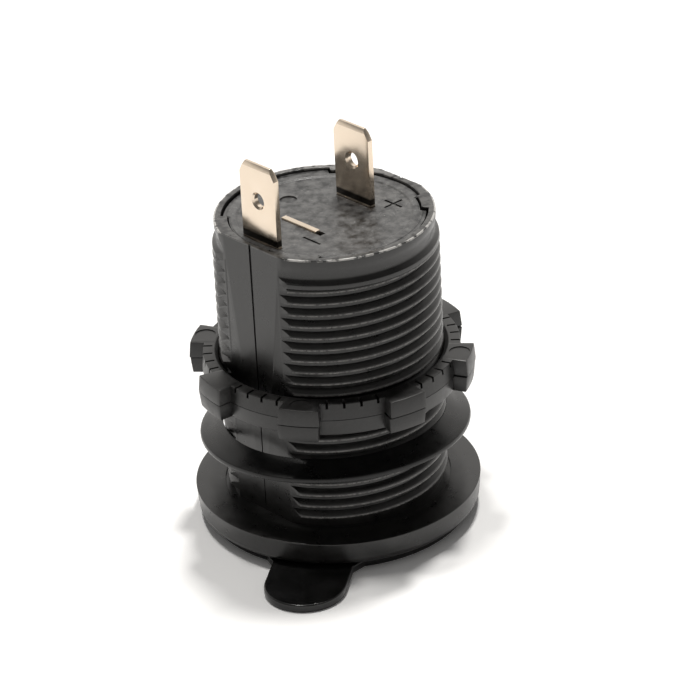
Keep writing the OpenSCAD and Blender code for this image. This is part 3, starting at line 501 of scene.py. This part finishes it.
# painted sheen: the top of the rim is painted paler towards its far side
painted_far_sheen = add_node(rim_marks_and_painted_light, "ShaderNodeMapRange", From_Min=9 * MM, From_Max=13 * MM, To_Min=0.12, To_Max=0.4)
on_crest = add_node(rim_marks_and_painted_light, "ShaderNodeMath", operation="GREATER_THAN")
speckled = add_node(rim_marks_and_painted_light, "ShaderNodeTexNoise", Scale=2200, Detail=2)
highlight_breakup = add_node(rim_marks_and_painted_light, "ShaderNodeMapRange", From_Min=0.35, From_Max=0.6, To_Min=0.1, To_Max=0.75)
painted_crest_highlight = add_node(rim_marks_and_painted_light, "ShaderNodeMath", operation="MULTIPLY")
most = add_node(rim_marks_and_painted_light, "ShaderNodeMath", operation="MAXIMUM")
both = add_node(rim_marks_and_painted_light, "ShaderNodeMath", operation="MULTIPLY")
flash_and_painted_sheen = add_node(rim_marks_and_painted_light, "ShaderNodeMath", operation="MULTIPLY")
rim_marks_and_painted_light.links.new(place.outputs["Object"], split.inputs[0])
rim_marks_and_painted_light.links.new(place.outputs["Object"], flat.inputs[0])
rim_marks_and_painted_light.links.new(place.outputs["Object"], far_side.inputs[0])
rim_marks_and_painted_light.links.new(place.outputs["Object"], ragged.inputs["Vector"])
rim_marks_and_painted_light.links.new(flat.outputs[0], radius.inputs[0])
rim_marks_and_painted_light.links.new(split.outputs["Z"], above.inputs[0])
rim_marks_and_painted_light.links.new(given.outputs["Level"], above.inputs[1])
rim_marks_and_painted_light.links.new(radius.outputs["Value"], beyond.inputs[0])
rim_marks_and_painted_light.links.new(given.outputs["Reach"], beyond.inputs[1])
rim_marks_and_painted_light.links.new(far_side.outputs["Value"], painted_far_sheen.inputs[0])
rim_marks_and_painted_light.links.new(ragged.outputs[0], torn.inputs[0])
rim_marks_and_painted_light.links.new(beyond.outputs[0], most.inputs[0])
rim_marks_and_painted_light.links.new(painted_far_sheen.outputs[0], most.inputs[1])
rim_marks_and_painted_light.links.new(above.outputs[0], both.inputs[0])
rim_marks_and_painted_light.links.new(most.outputs[0], both.inputs[1])
rim_marks_and_painted_light.links.new(both.outputs[0], flash_and_painted_sheen.inputs[0])
rim_marks_and_painted_light.links.new(torn.outputs[0], flash_and_painted_sheen.inputs[1])
rim_marks_and_painted_light.links.new(flash_and_painted_sheen.outputs[0], taken.inputs["Flash"])
rim_marks_and_painted_light.links.new(place.outputs["Object"], speckled.inputs["Vector"])
rim_marks_and_painted_light.links.new(speckled.outputs[0], highlight_breakup.inputs[0])
rim_marks_and_painted_light.links.new(radius.outputs["Value"], on_crest.inputs[0])
rim_marks_and_painted_light.links.new(given.outputs["Crest"], on_crest.inputs[1])
rim_marks_and_painted_light.links.new(on_crest.outputs[0], painted_crest_highlight.inputs[0])
rim_marks_and_painted_light.links.new(highlight_breakup.outputs[0], painted_crest_highlight.inputs[1])
rim_marks_and_painted_light.links.new(painted_crest_highlight.outputs[0], taken.inputs["Crest_Highlights"])
tree = satin.node_tree
shader = next(n for n in tree.nodes if n.type == "BSDF_PRINCIPLED")
skin_colour = shader.inputs["Base Color"].links[0].from_socket
flash_and_painted_light_masks = add_node(tree, "ShaderNodeGroup", node_tree=rim_marks_and_painted_light)
# the real flash and the painted far-side sheen share this pale colour
pale = add_node(tree, "ShaderNodeMix", data_type="RGBA")
pale.inputs["B"].default_value = (0.5, 0.49, 0.47, 1)
# painted highlight: the outermost crest lines of the thread are painted a lighter grey
painted_crest_tint = add_node(tree, "ShaderNodeMix", data_type="RGBA")
painted_crest_tint.inputs["B"].default_value = (0.2, 0.195, 0.185, 1)
upright = add_node(tree, "ShaderNodeSeparateXYZ")
place = add_node(tree, "ShaderNodeTexCoord")
over_flange = add_node(tree, "ShaderNodeMath", operation="GREATER_THAN")
over_flange.inputs[1].default_value = 0.5 * MM
crest_only = add_node(tree, "ShaderNodeMath", operation="MULTIPLY")
tree.links.new(place.outputs["Object"], upright.inputs[0])
tree.links.new(upright.outputs["Z"], over_flange.inputs[0])
tree.links.new(over_flange.outputs[0], crest_only.inputs[0])
tree.links.new(flash_and_painted_light_masks.outputs["Crest_Highlights"], crest_only.inputs[1])
tree.links.new(crest_only.outputs[0], painted_crest_tint.inputs["Factor"])
tree.links.new(skin_colour, painted_crest_tint.inputs["A"])
tree.links.new(flash_and_painted_light_masks.outputs["Flash"], pale.inputs["Factor"])
tree.links.new(painted_crest_tint.outputs["Result"], pale.inputs["A"])
tree.links.new(pale.outputs["Result"], shader.inputs["Base Color"])
barrel.data.materials.append(satin)


# The flange
# The wide collar of the same moulding, which stays in front of the panel. A groove round the
# foot of the barrel lets it sit flat, and two ears at its far side carry the pin of the cap.
flange_r = 18.6 * MM
flange_front = -3.3 * MM
hinge_turn = 35.5
hinge_out = 17.6
hinge_z = -3.15
ear_r = 1.25
ear_half = 1.0
ear_out = 5.0
hinge_place = Matrix.Translation((0, hinge_out * MM, hinge_z * MM))
to_hinge = Matrix.Rotation(math.radians(hinge_turn), 4, "Z") @ hinge_place


def cross_bar(bm, radius, half, middle=0.0, ease=0.0, segments=48):
    """A round bar along local X at the hinge, in millimetres."""
    made = bmesh.ops.create_cone(
        bm, cap_ends=True, segments=segments, radius1=radius * MM, radius2=radius * MM, depth=2 * half * MM,
    )["verts"]
    if ease:
        edges = {e for v in made for e in v.link_edges}
        ends = [e for e in edges if abs(e.verts[0].co.z - e.verts[1].co.z) < 1e-9]
        moved = bmesh.ops.bevel(
            bm, geom=ends, offset=ease * MM, affect="EDGES", segments=2, profile=0.5, material=-1,
        )
        made = list({v for f in moved["faces"] for v in f.verts} | {v for v in made if v.is_valid})
    turn_verts(bm, made, 90, "Y")
    bmesh.ops.translate(bm, verts=made, vec=(middle * MM, 0, 0))
    return made


collar = rounded(
    [
        (12.25 * MM, -0.4 * MM), (12.85 * MM, -0.4 * MM), (12.85 * MM, flange_front),
        (18.4 * MM, flange_front), (18.4 * MM, -2.2 * MM), (flange_r, 0),
        (14.7 * MM, 0), (14.7 * MM, -0.2 * MM), (12.25 * MM, -0.2 * MM),
    ],
    [0, 0, 0.2 * MM, 1.0 * MM, 0.05 * MM, 0.14 * MM, 0.05 * MM, 0, 0],
    segments=5,
)
bm = bmesh.new()
spin_profile(bm, collar, steps=240)
bmesh.ops.recalc_face_normals(bm, faces=bm.faces)
flange = mesh_object("flange", bm)
cutter = bmesh.new()
cross_bar(cutter, 1.7, 4.0)
bmesh.ops.transform(cutter, matrix=to_hinge, verts=cutter.verts)
carve(flange, cutter)
cutter = bmesh.new()
bar(cutter, (-4.0, -1.7, -2.4), (4.0, 1.7, 0.0))
bmesh.ops.transform(cutter, matrix=to_hinge, verts=cutter.verts)
carve(flange, cutter)
ears = bmesh.new()
for side in (-1, 1):
    cross_bar(ears, ear_r, ear_half, middle=side * ear_out, ease=0.12)
    bar(ears, (side * ear_out - ear_half, -ear_r, 0.0), (side * ear_out + ear_half, ear_r, 1.2))
bmesh.ops.transform(ears, matrix=to_hinge, verts=ears.verts)
add_meshes(flange, as_mesh("ears", ears))
flange.data.materials.append(satin)
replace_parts(flange, "housing")
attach(flange, "socket")


# The end plate
# A keyed plate pressed into the rear rim, moulded in the same black nylon. It has a shallow
# dish, sunk polarity marks and the round mark of an ejector pin, and its skin is scuffed.
plate_r = 12.82 * MM
plate_key_r = 12.04 * MM
plate_back_r = 12.62 * MM
plate_top = 37.4 * MM
plate_foot = 35.2 * MM
plate_back_angle = 25.0
dish_r = 11.0 * MM
dish_z = plate_top - 0.15 * MM
disc = rounded(
    [
        (0, plate_foot), (plate_r, plate_foot), (plate_r, plate_top - 0.08 * MM),
        (12.45 * MM, plate_top - 0.08 * MM), (12.35 * MM, plate_top), (dish_r + 0.2 * MM, plate_top),
        (dish_r, dish_z), (0, dish_z),
    ],
    [0, 0, 0.08 * MM, 0.03 * MM, 0.03 * MM, 0.1 * MM, 0.1 * MM, 0],
)
bm = bmesh.new()
spin_profile(bm, disc, steps=360)
for v in bm.verts:
    radius = math.hypot(v.co.x, v.co.y)
    off_flat = math.degrees(math.atan2(abs(v.co.x), abs(v.co.y)))
    key_r = plate_back_r if v.co.y > 0 and off_flat < plate_back_angle else plate_key_r
    if radius > dish_r + 0.5 * MM and off_flat < key_angle + 2:
        v.co.xy *= min(1, (key_r - (plate_r - radius) * 0.4) / radius)
    elif radius > 12.5 * MM and v.co.x < 0 < v.co.y:
        v.co.xy *= 1.016
bmesh.ops.recalc_face_normals(bm, faces=bm.faces)
end_plate = mesh_object("end_plate_skin", bm)
negative_y = -10.5
positive_y = 5.45
spare_y = -4.1
slot_end = 3.19
spare_slot_end = 4.09
slot_half = 0.44
mark_x = 4.3
minus_y = -6.2
plus_y = 7.9
stroke = 1.55
stroke_half = 0.18
mark_floor = 37.05
over_plate = 38.0
pin_mark_r = 1.1
pin_mark_x = -6.7
cutter = bmesh.new()
for far_end, y in ((slot_end, negative_y), (slot_end, positive_y), (spare_slot_end, spare_y)):
    bar(cutter, (-slot_end, y - slot_half, 35.0), (far_end, y + slot_half, over_plate))
for y in (minus_y, plus_y):
    bar(
        cutter, (mark_x - stroke, y - stroke_half, mark_floor),
        (mark_x + stroke, y + stroke_half, over_plate),
    )
pin_mark = bmesh.ops.create_cone(
    cutter, cap_ends=True, segments=48, radius1=pin_mark_r * MM, radius2=pin_mark_r * MM, depth=1 * MM,
)["verts"]
bmesh.ops.translate(cutter, verts=pin_mark, vec=(pin_mark_x * MM, 0, 37.5 * MM))
carve(end_plate, cutter)
cutter = bmesh.new()
bar(
    cutter, (mark_x - stroke_half, plus_y - stroke, mark_floor),
    (mark_x + stroke_half, plus_y + stroke, over_plate),
)
carve(end_plate, cutter)
scuffed = worn(
    "scuffed_black_plastic", (0.01, 0.01, 0.0105), (0.13, 0.129, 0.127), (0.3, 0.55),
    grain=2600, patch=700, scratch=420, lift=0.03, deep=0.6, dots=0.9,
)
end_plate.data.materials.append(scuffed)
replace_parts(end_plate, "end_plate")
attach(end_plate, "socket")


# The blades and the spare tab
# Two 6.3 mm push-on blades of tin-plated brass, blanked with cut tip corners, a bevelled tip
# and a latch hole, pushed through the end plate. The third strip between them is cut off flush.
blade_half = 3.15
sheet_half = 0.4
tip_side = 1.5
tip_end = 0.9
lead_half = 1.5
blade_top = 47.9
hole_z = 43.0
lead_z = 34.0
plated = worn(
    "plated_blade", (0.73, 0.615, 0.49), (0.79, 0.675, 0.55), (0.2, 0.27), grain=1600, patch=300,
    scratch=200, lift=0.0003, deep=0.08, Metallic=1.0,
)

# The metal is painted dark over a short foot where it leaves the plate, as painted shade and a painted dark
# reflection of the plate, and stays bright on the flush tab
tree = plated.node_tree
shader = next(n for n in tree.nodes if n.type == "BSDF_PRINCIPLED")
skin_colour = shader.inputs["Base Color"].links[0].from_socket
place = add_node(tree, "ShaderNodeTexCoord")
split = add_node(tree, "ShaderNodeSeparateXYZ")
near_foot = add_node(tree, "ShaderNodeMapRange", From_Min=38.3 * MM, From_Max=38.6 * MM, To_Min=0.06)
keep_tab = add_node(tree, "ShaderNodeMath", operation="LESS_THAN")
lighter = add_node(tree, "ShaderNodeMath", operation="MAXIMUM")
# painted shade: the near-black colour given to the foot of each blade
painted_foot_shade = add_node(tree, "ShaderNodeMix", data_type="RGBA")
painted_foot_shade.inputs["A"].default_value = (0.01, 0.009, 0.008, 1)
keep_tab.inputs[1].default_value = 37.6 * MM
tree.links.new(place.outputs["Object"], split.inputs[0])
tree.links.new(split.outputs["Z"], near_foot.inputs[0])
tree.links.new(split.outputs["Z"], keep_tab.inputs[0])
tree.links.new(near_foot.outputs[0], lighter.inputs[0])
tree.links.new(keep_tab.outputs[0], lighter.inputs[1])
tree.links.new(lighter.outputs[0], painted_foot_shade.inputs["Factor"])
tree.links.new(skin_colour, painted_foot_shade.inputs["B"])
tree.links.new(painted_foot_shade.outputs["Result"], shader.inputs["Base Color"])


def extrude(bm, face, step):
    """Pushes a face out by a step and makes it a solid."""
    pushed = bmesh.ops.extrude_face_region(bm, geom=[face])["geom"]
    bmesh.ops.translate(bm, verts=[g for g in pushed if isinstance(g, bmesh.types.BMVert)], vec=step)
    bmesh.ops.recalc_face_normals(bm, faces=bm.faces)


def blade(name, y, side):
    """A blade at y with its bent lead, which meets the board on the side given."""
    bm = bmesh.new()
    outline = [
        (-blade_half, 35.0), (blade_half, 35.0), (blade_half, blade_top - tip_side),
        (blade_half - tip_end, blade_top), (tip_end - blade_half, blade_top),
        (-blade_half, blade_top - tip_side),
    ]
    face = bm.faces.new([bm.verts.new((x * MM, (y - sheet_half) * MM, z * MM)) for x, z in outline])
    extrude(bm, face, (0, 2 * sheet_half * MM, 0))
    for way in (-1, 1):
        cut_beyond(bm, (0, (y + way * sheet_half) * MM, (blade_top - 0.6) * MM), (0, way * 0.6, 0.2))
        close_cuts(bm)
    bmesh.ops.recalc_face_normals(bm, faces=bm.faces)
    sharp = [e for e in bm.edges if len(e.link_faces) == 2 and e.calc_face_angle(0) > 0.3]
    bmesh.ops.bevel(bm, geom=sharp, offset=0.05 * MM, affect="EDGES", segments=2, profile=0.5, material=-1)
    made = mesh_object(name, bm)
    for low_r, high_r, depth, out in ((0.9, 0.9, 2.0, 0.0), (1.2, 0.9, 0.3, -0.3)):
        cutter = bmesh.new()
        drill = bmesh.ops.create_cone(
            cutter, cap_ends=True, segments=48, radius1=low_r * MM, radius2=high_r * MM, depth=depth * MM,
        )["verts"]
        turn_verts(cutter, drill, -90, "X")
        bmesh.ops.translate(cutter, verts=drill, vec=(0, (y + out) * MM, hole_z * MM))
        carve(made, cutter)
    board_y = side * 2 * sheet_half
    lead_y = sorted((board_y, board_y + side * 2 * sheet_half))
    across = sorted((board_y, y))
    bm = bmesh.new()
    bar(bm, (-lead_half, y - sheet_half, lead_z - 0.4), (lead_half, y + sheet_half, 35.05), ease=0.05)
    bar(bm, (-lead_half, across[0], lead_z - 0.8), (lead_half, across[1], lead_z), ease=0.05)
    bar(bm, (-lead_half, lead_y[0], 28.0), (lead_half, lead_y[1], lead_z - 0.02), ease=0.05)
    add_meshes(made, as_mesh("lead", bm))
    made.data.materials.clear()
    made.data.materials.append(plated)
    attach(made, "socket")
    return made


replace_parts(blade("negative_blade_metal", negative_y, -1), "negative_blade")
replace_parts(blade("positive_blade_metal", positive_y, 1), "positive_blade")
spare_front = spare_y - sheet_half
spare_back = spare_y + sheet_half
bm = bmesh.new()
bar(bm, (-blade_half, spare_front, 35.15), (blade_half, spare_back, 37.5), ease=0.05)
bar(bm, (-3.75, spare_front, 34.6), (3.75, spare_back, 35.18), ease=0.05)
bmesh.ops.recalc_face_normals(bm, faces=bm.faces)
spare = mesh_object("spare_tab_metal", bm)
spare.data.materials.append(plated)
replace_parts(spare, "spare_tab")
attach(spare, "socket")


# The lock nut
# A ring with eight lugs for the fingers, moulded in black nylon. Its outer walls lean out to a
# parting line at mid height, and grooves in its top split the ring between the lugs.
nut_z = 14.6
nut_top = 19.0
nut_mid = 16.8
nut_bore = 14.5
nut_r = 16.7
lug_r = 18.5
lug_half = 2.7
lug_turn = -11.5
notch_half = 0.17
notch_floor = 18.35
round_mark_r = 1.35
round_mark_out = 16.75
ring = rounded(
    [
        (nut_bore, nut_z), (nut_r - 0.25, nut_z), (nut_r - 0.03, nut_mid - 0.05), (nut_r - 0.12, nut_mid),
        (nut_r, nut_mid + 0.05), (nut_r - 0.2, nut_top), (nut_bore + 0.5, nut_top), (nut_bore, nut_top - 0.5),
    ],
    [0.1, 0.15, 0.0, 0.0, 0.0, 0.1, 0.08, 0.1],
)
bm = bmesh.new()
spin_profile(bm, [(r * MM, z * MM) for r, z in ring], steps=288)
bmesh.ops.recalc_face_normals(bm, faces=bm.faces)
nut = mesh_object("lock_nut_ring", bm)
lug_count = 8
lug_step = 360 / lug_count
lug_inner = nut_bore + 0.62
lug_fan = [k / 4 for k in range(-4, 5)]


def half_lug(bm, outer, ends, turn):
    """The part of a lug between two ends (height, lean), with eased outer edges, turned into place."""
    kept = set(bm.verts)
    rows = []
    for z, lean in ends:
        half = math.asin((lug_half - lean * 0.5) / lug_r)
        rows.append([
            bm.verts.new((r * math.cos(t * half) * MM, r * math.sin(t * half) * MM, z * MM))
            for r, fan in ((outer - lean, lug_fan), (lug_inner, lug_fan[::-1])) for t in fan
        ])
    low, high = rows
    bm.faces.new(low[::-1])
    bm.faces.new(high)
    for k in range(len(low)):
        after = (k + 1) % len(low)
        bm.faces.new((low[k], low[after], high[after], high[k]))
    bm.normal_update()
    edges = {e for v in low + high for e in v.link_edges}
    edges = [e for e in edges if e.calc_face_angle(0) > 0.5 and max(v.co.x for v in e.verts) > 16.9 * MM]
    bmesh.ops.bevel(bm, geom=edges, offset=0.13 * MM, affect="EDGES", segments=2, profile=0.5, material=-1)
    turn_verts(bm, [v for v in bm.verts if v not in kept], turn)


bm = bmesh.new()
for i in range(lug_count):
    turn = lug_turn + lug_step * i
    half_lug(bm, lug_r - 0.08, ((nut_z, 0.22), (nut_mid - 0.04, 0.0)), turn - 0.45)
    half_lug(bm, lug_r, ((nut_mid + 0.04, 0.0), (nut_top + 0.03, 0.2)), turn)
bmesh.ops.recalc_face_normals(bm, faces=bm.faces)
lugs = mesh_object("lock_nut_lugs", bm)
notch_start = 11.2
notch_step = (lug_step - 2 * notch_start) / 3
for piece, mark_z in ((nut, 19.3), (lugs, 19.42)):
    cutter = bmesh.new()
    for i in range(lug_count):
        turn = lug_turn + lug_step * i
        if piece is nut:
            for k in range(4):
                notch_turn = turn + notch_start + notch_step * k
                bar(cutter, (15.3, -notch_half, notch_floor), (17.4, notch_half, 19.6), turn=notch_turn)
        if i % 2 == 1:
            mark = bmesh.ops.create_cone(
                cutter, cap_ends=True, segments=40,
                radius1=round_mark_r * MM, radius2=round_mark_r * MM, depth=1 * MM,
            )["verts"]
            bmesh.ops.translate(cutter, verts=mark, vec=(round_mark_out * MM, 0, mark_z * MM))
            turn_verts(cutter, mark, turn)
    carve(piece, cutter)
lug_mesh = lugs.data
bpy.data.objects.remove(lugs)
add_meshes(nut, lug_mesh)
nut_plastic = worn(
    "nut_plastic", (0.006, 0.0058, 0.0056), (0.016, 0.0155, 0.015), (0.3, 0.42), patch=700, lift=0.008,
    deep=0.3, dots=0.3,
)
nut.data.materials.append(nut_plastic)
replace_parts(nut, "lock_nut")
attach(nut, "nut")


# The gasket
# A thin washer of black rubber that hangs loose on the thread. Its inner edge is dragged up by
# the thread, so it stands dished and a little tilted between the flange and the nut.
gasket_z = 7.3
gasket_tilt = -3.5
tilt_turn = -15
washer = rounded(
    [(14.47, 1.35), (16.2, 0.5), (17.5, 0.02), (17.6, 0.35), (17.5, 0.7), (16.2, 1.18), (14.47, 2.05)],
    [0.1, 0.5, 0.1, 0.2, 0.1, 0.5, 0.1],
    segments=4,
)
bm = bmesh.new()
spin_profile(bm, [(r * MM, z * MM) for r, z in washer], steps=240)
turn_verts(bm, bm.verts, gasket_tilt, "Y")
turn_verts(bm, bm.verts, tilt_turn)
bmesh.ops.translate(bm, verts=bm.verts, vec=(0, 0, gasket_z * MM))
bmesh.ops.recalc_face_normals(bm, faces=bm.faces)
washer_piece = mesh_object("gasket_rubber", bm)
rubber = worn(
    "black_rubber", (0.004, 0.004, 0.004), (0.009, 0.009, 0.009), (0.26, 0.34), grain=3000, patch=420,
    lift=0.002, deep=0.05, Specular_IOR_Level=0.35,
)
washer_piece.data.materials.append(rubber)
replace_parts(washer_piece, "gasket")
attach(washer_piece, "seal")


# The dust cap
# A round lid of soft glossy plastic that closes the ports. It has a finger tab, a plug ring
# that fits the recess of the flange, and a knuckle that turns on the hinge pin.
cap_low = -4.5
cap_high = -3.4
cap_r = 17.1
tab_half = 5.2
tab_middle = 22.5
tab_turn = -54.5
plug_inner = 11.45
plug_outer = 12.55
plug_h = 1.8
knuckle_r = 1.35
knuckle_half = 3.8
meet = math.asin((tab_half + 1.2) / cap_r)
lid_angles = [meet + (2 * math.pi - 2 * meet) * k / 150 for k in range(151)]
tip_angles = [math.radians(-90 + 180 * k / 40) for k in range(41)]
neck = cap_r * math.cos(math.asin(tab_half / cap_r)) + 1.4
outline = [(cap_r * math.cos(a), cap_r * math.sin(a)) for a in lid_angles]
outline += [(neck, -tab_half)]
outline += [(tab_middle + tab_half * math.cos(a), tab_half * math.sin(a)) for a in tip_angles]
outline += [(neck, tab_half)]
bm = bmesh.new()
lid = bm.faces.new([bm.verts.new((x * MM, y * MM, cap_low * MM)) for x, y in outline])
extrude(bm, lid, (0, 0, (cap_high - cap_low) * MM))
rims = [e for e in bm.edges if abs(e.verts[0].co.z - e.verts[1].co.z) < 1e-9]
bmesh.ops.bevel(bm, geom=rims, offset=0.22 * MM, affect="EDGES", segments=3, profile=0.5, material=-1)
turn_verts(bm, bm.verts, tab_turn)
cap = mesh_object("dust_cap_lid", bm)
cutter = bmesh.new()
for side in (-1, 1):
    bar(cutter, (side * ear_out - 1.2, -1.6, -2.4), (side * ear_out + 1.2, 1.2, 1.5))
bmesh.ops.transform(cutter, matrix=to_hinge, verts=cutter.verts)
carve(cap, cutter)
plug = rounded(
    [
        (plug_inner, cap_high - 0.05), (plug_outer, cap_high - 0.05),
        (plug_outer, cap_high + plug_h), (plug_inner, cap_high + plug_h),
    ],
    [0, 0, 0.25, 0.25],
)
plug_ring = bmesh.new()
spin_profile(plug_ring, [(r * MM, z * MM) for r, z in plug], steps=192)
knuckle = bmesh.new()
cross_bar(knuckle, knuckle_r, knuckle_half, ease=0.15)
bar(knuckle, (-knuckle_half, -2.2, -knuckle_r), (knuckle_half, 0.0, -0.25), ease=0.1)
bmesh.ops.transform(knuckle, matrix=to_hinge, verts=knuckle.verts)
add_meshes(cap, as_mesh("plug_ring", plug_ring), as_mesh("knuckle", knuckle))
cap_plastic = worn(
    "soft_cap_plastic", (0.004, 0.004, 0.004), (0.007, 0.007, 0.007), (0.18, 0.26),
    grain=2500, patch=300, lift=0.002,
)
cap.data.materials.append(cap_plastic)
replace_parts(cap, "dust_cap")
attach(cap, "cap")


# The front face, the ports and the parts inside
# Behind the cap sit the black face with its two ports, their steel shells, white tongues and
# gilt contacts, and behind them the circuit board with its parts. They keep their CAD shapes.
def finish_node(names, material):
    for name in names:
        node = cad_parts[name]
        node.data.materials.clear()
        node.data.materials.append(material)


finish_node(
    ["front_face"],
    worn("face_plastic", (0.014, 0.014, 0.014), (0.022, 0.022, 0.022), (0.4, 0.5), lift=0.008),
)
finish_node(
    ["upper_shell", "lower_shell"],
    worn(
        "port_steel", (0.55, 0.56, 0.57), (0.66, 0.67, 0.68), (0.2, 0.32), patch=900, lift=0.002,
        Metallic=1.0,
    ),
)
finish_node(
    ["upper_tongue", "lower_tongue"],
    worn("white_insulator", (0.74, 0.73, 0.69), (0.8, 0.79, 0.76), (0.35, 0.45), lift=0.003),
)
finish_node(
    ["upper_contacts", "lower_contacts"],
    worn(
        "gold_contact", (0.72, 0.5, 0.2), (0.83, 0.62, 0.3), (0.15, 0.25), patch=1200, lift=0.001,
        Metallic=1.0,
    ),
)
finish_node(
    ["main_board"],
    worn(
        "green_board", (0.012, 0.09, 0.035), (0.02, 0.13, 0.055), (0.28, 0.4),
        grain=3500, patch=250, lift=0.006,
    ),
)
finish_node(
    ["converter_chip", "port_chip", "rectifier_diode", "chip_resistors"],
    worn("chip_resin", (0.014, 0.014, 0.015), (0.024, 0.024, 0.025), (0.45, 0.6), grain=6000, lift=0.006),
)
finish_node(
    ["inductor_core"],
    worn("ferrite", (0.03, 0.031, 0.033), (0.05, 0.05, 0.052), (0.5, 0.65), grain=4500, lift=0.012),
)
finish_node(
    ["inductor_coil"],
    worn(
        "copper_wire", (0.55, 0.22, 0.1), (0.68, 0.3, 0.14), (0.2, 0.32), patch=800, lift=0.002,
        Metallic=1.0,
    ),
)
finish_node(
    ["input_capacitor", "output_capacitor"],
    worn("capacitor_sleeve", (0.02, 0.03, 0.08), (0.03, 0.045, 0.11), (0.3, 0.4), patch=300, lift=0.003),
)
finish_node(
    ["resettable_fuse"],
    worn("fuse_coat", (0.5, 0.36, 0.05), (0.6, 0.44, 0.08), (0.35, 0.5), lift=0.005),
)
finish_node(
    ["status_led"],
    worn("led_case", (0.74, 0.7, 0.55), (0.82, 0.79, 0.66), (0.3, 0.4), lift=0.002),
)
finish_node(
    ["light_pipe"],
    worn(
        "clear_pipe", (0.86, 0.9, 0.94), (0.9, 0.94, 0.97), (0.04, 0.1), patch=400, lift=0.001, deep=0.05,
        Transmission_Weight=0.92, IOR=1.49,
    ),
)
finish_node(
    ["hinge_pin"],
    worn(
        "pin_steel", (0.52, 0.53, 0.55), (0.64, 0.65, 0.67), (0.2, 0.3), patch=900, lift=0.001,
        Metallic=1.0,
    ),
)
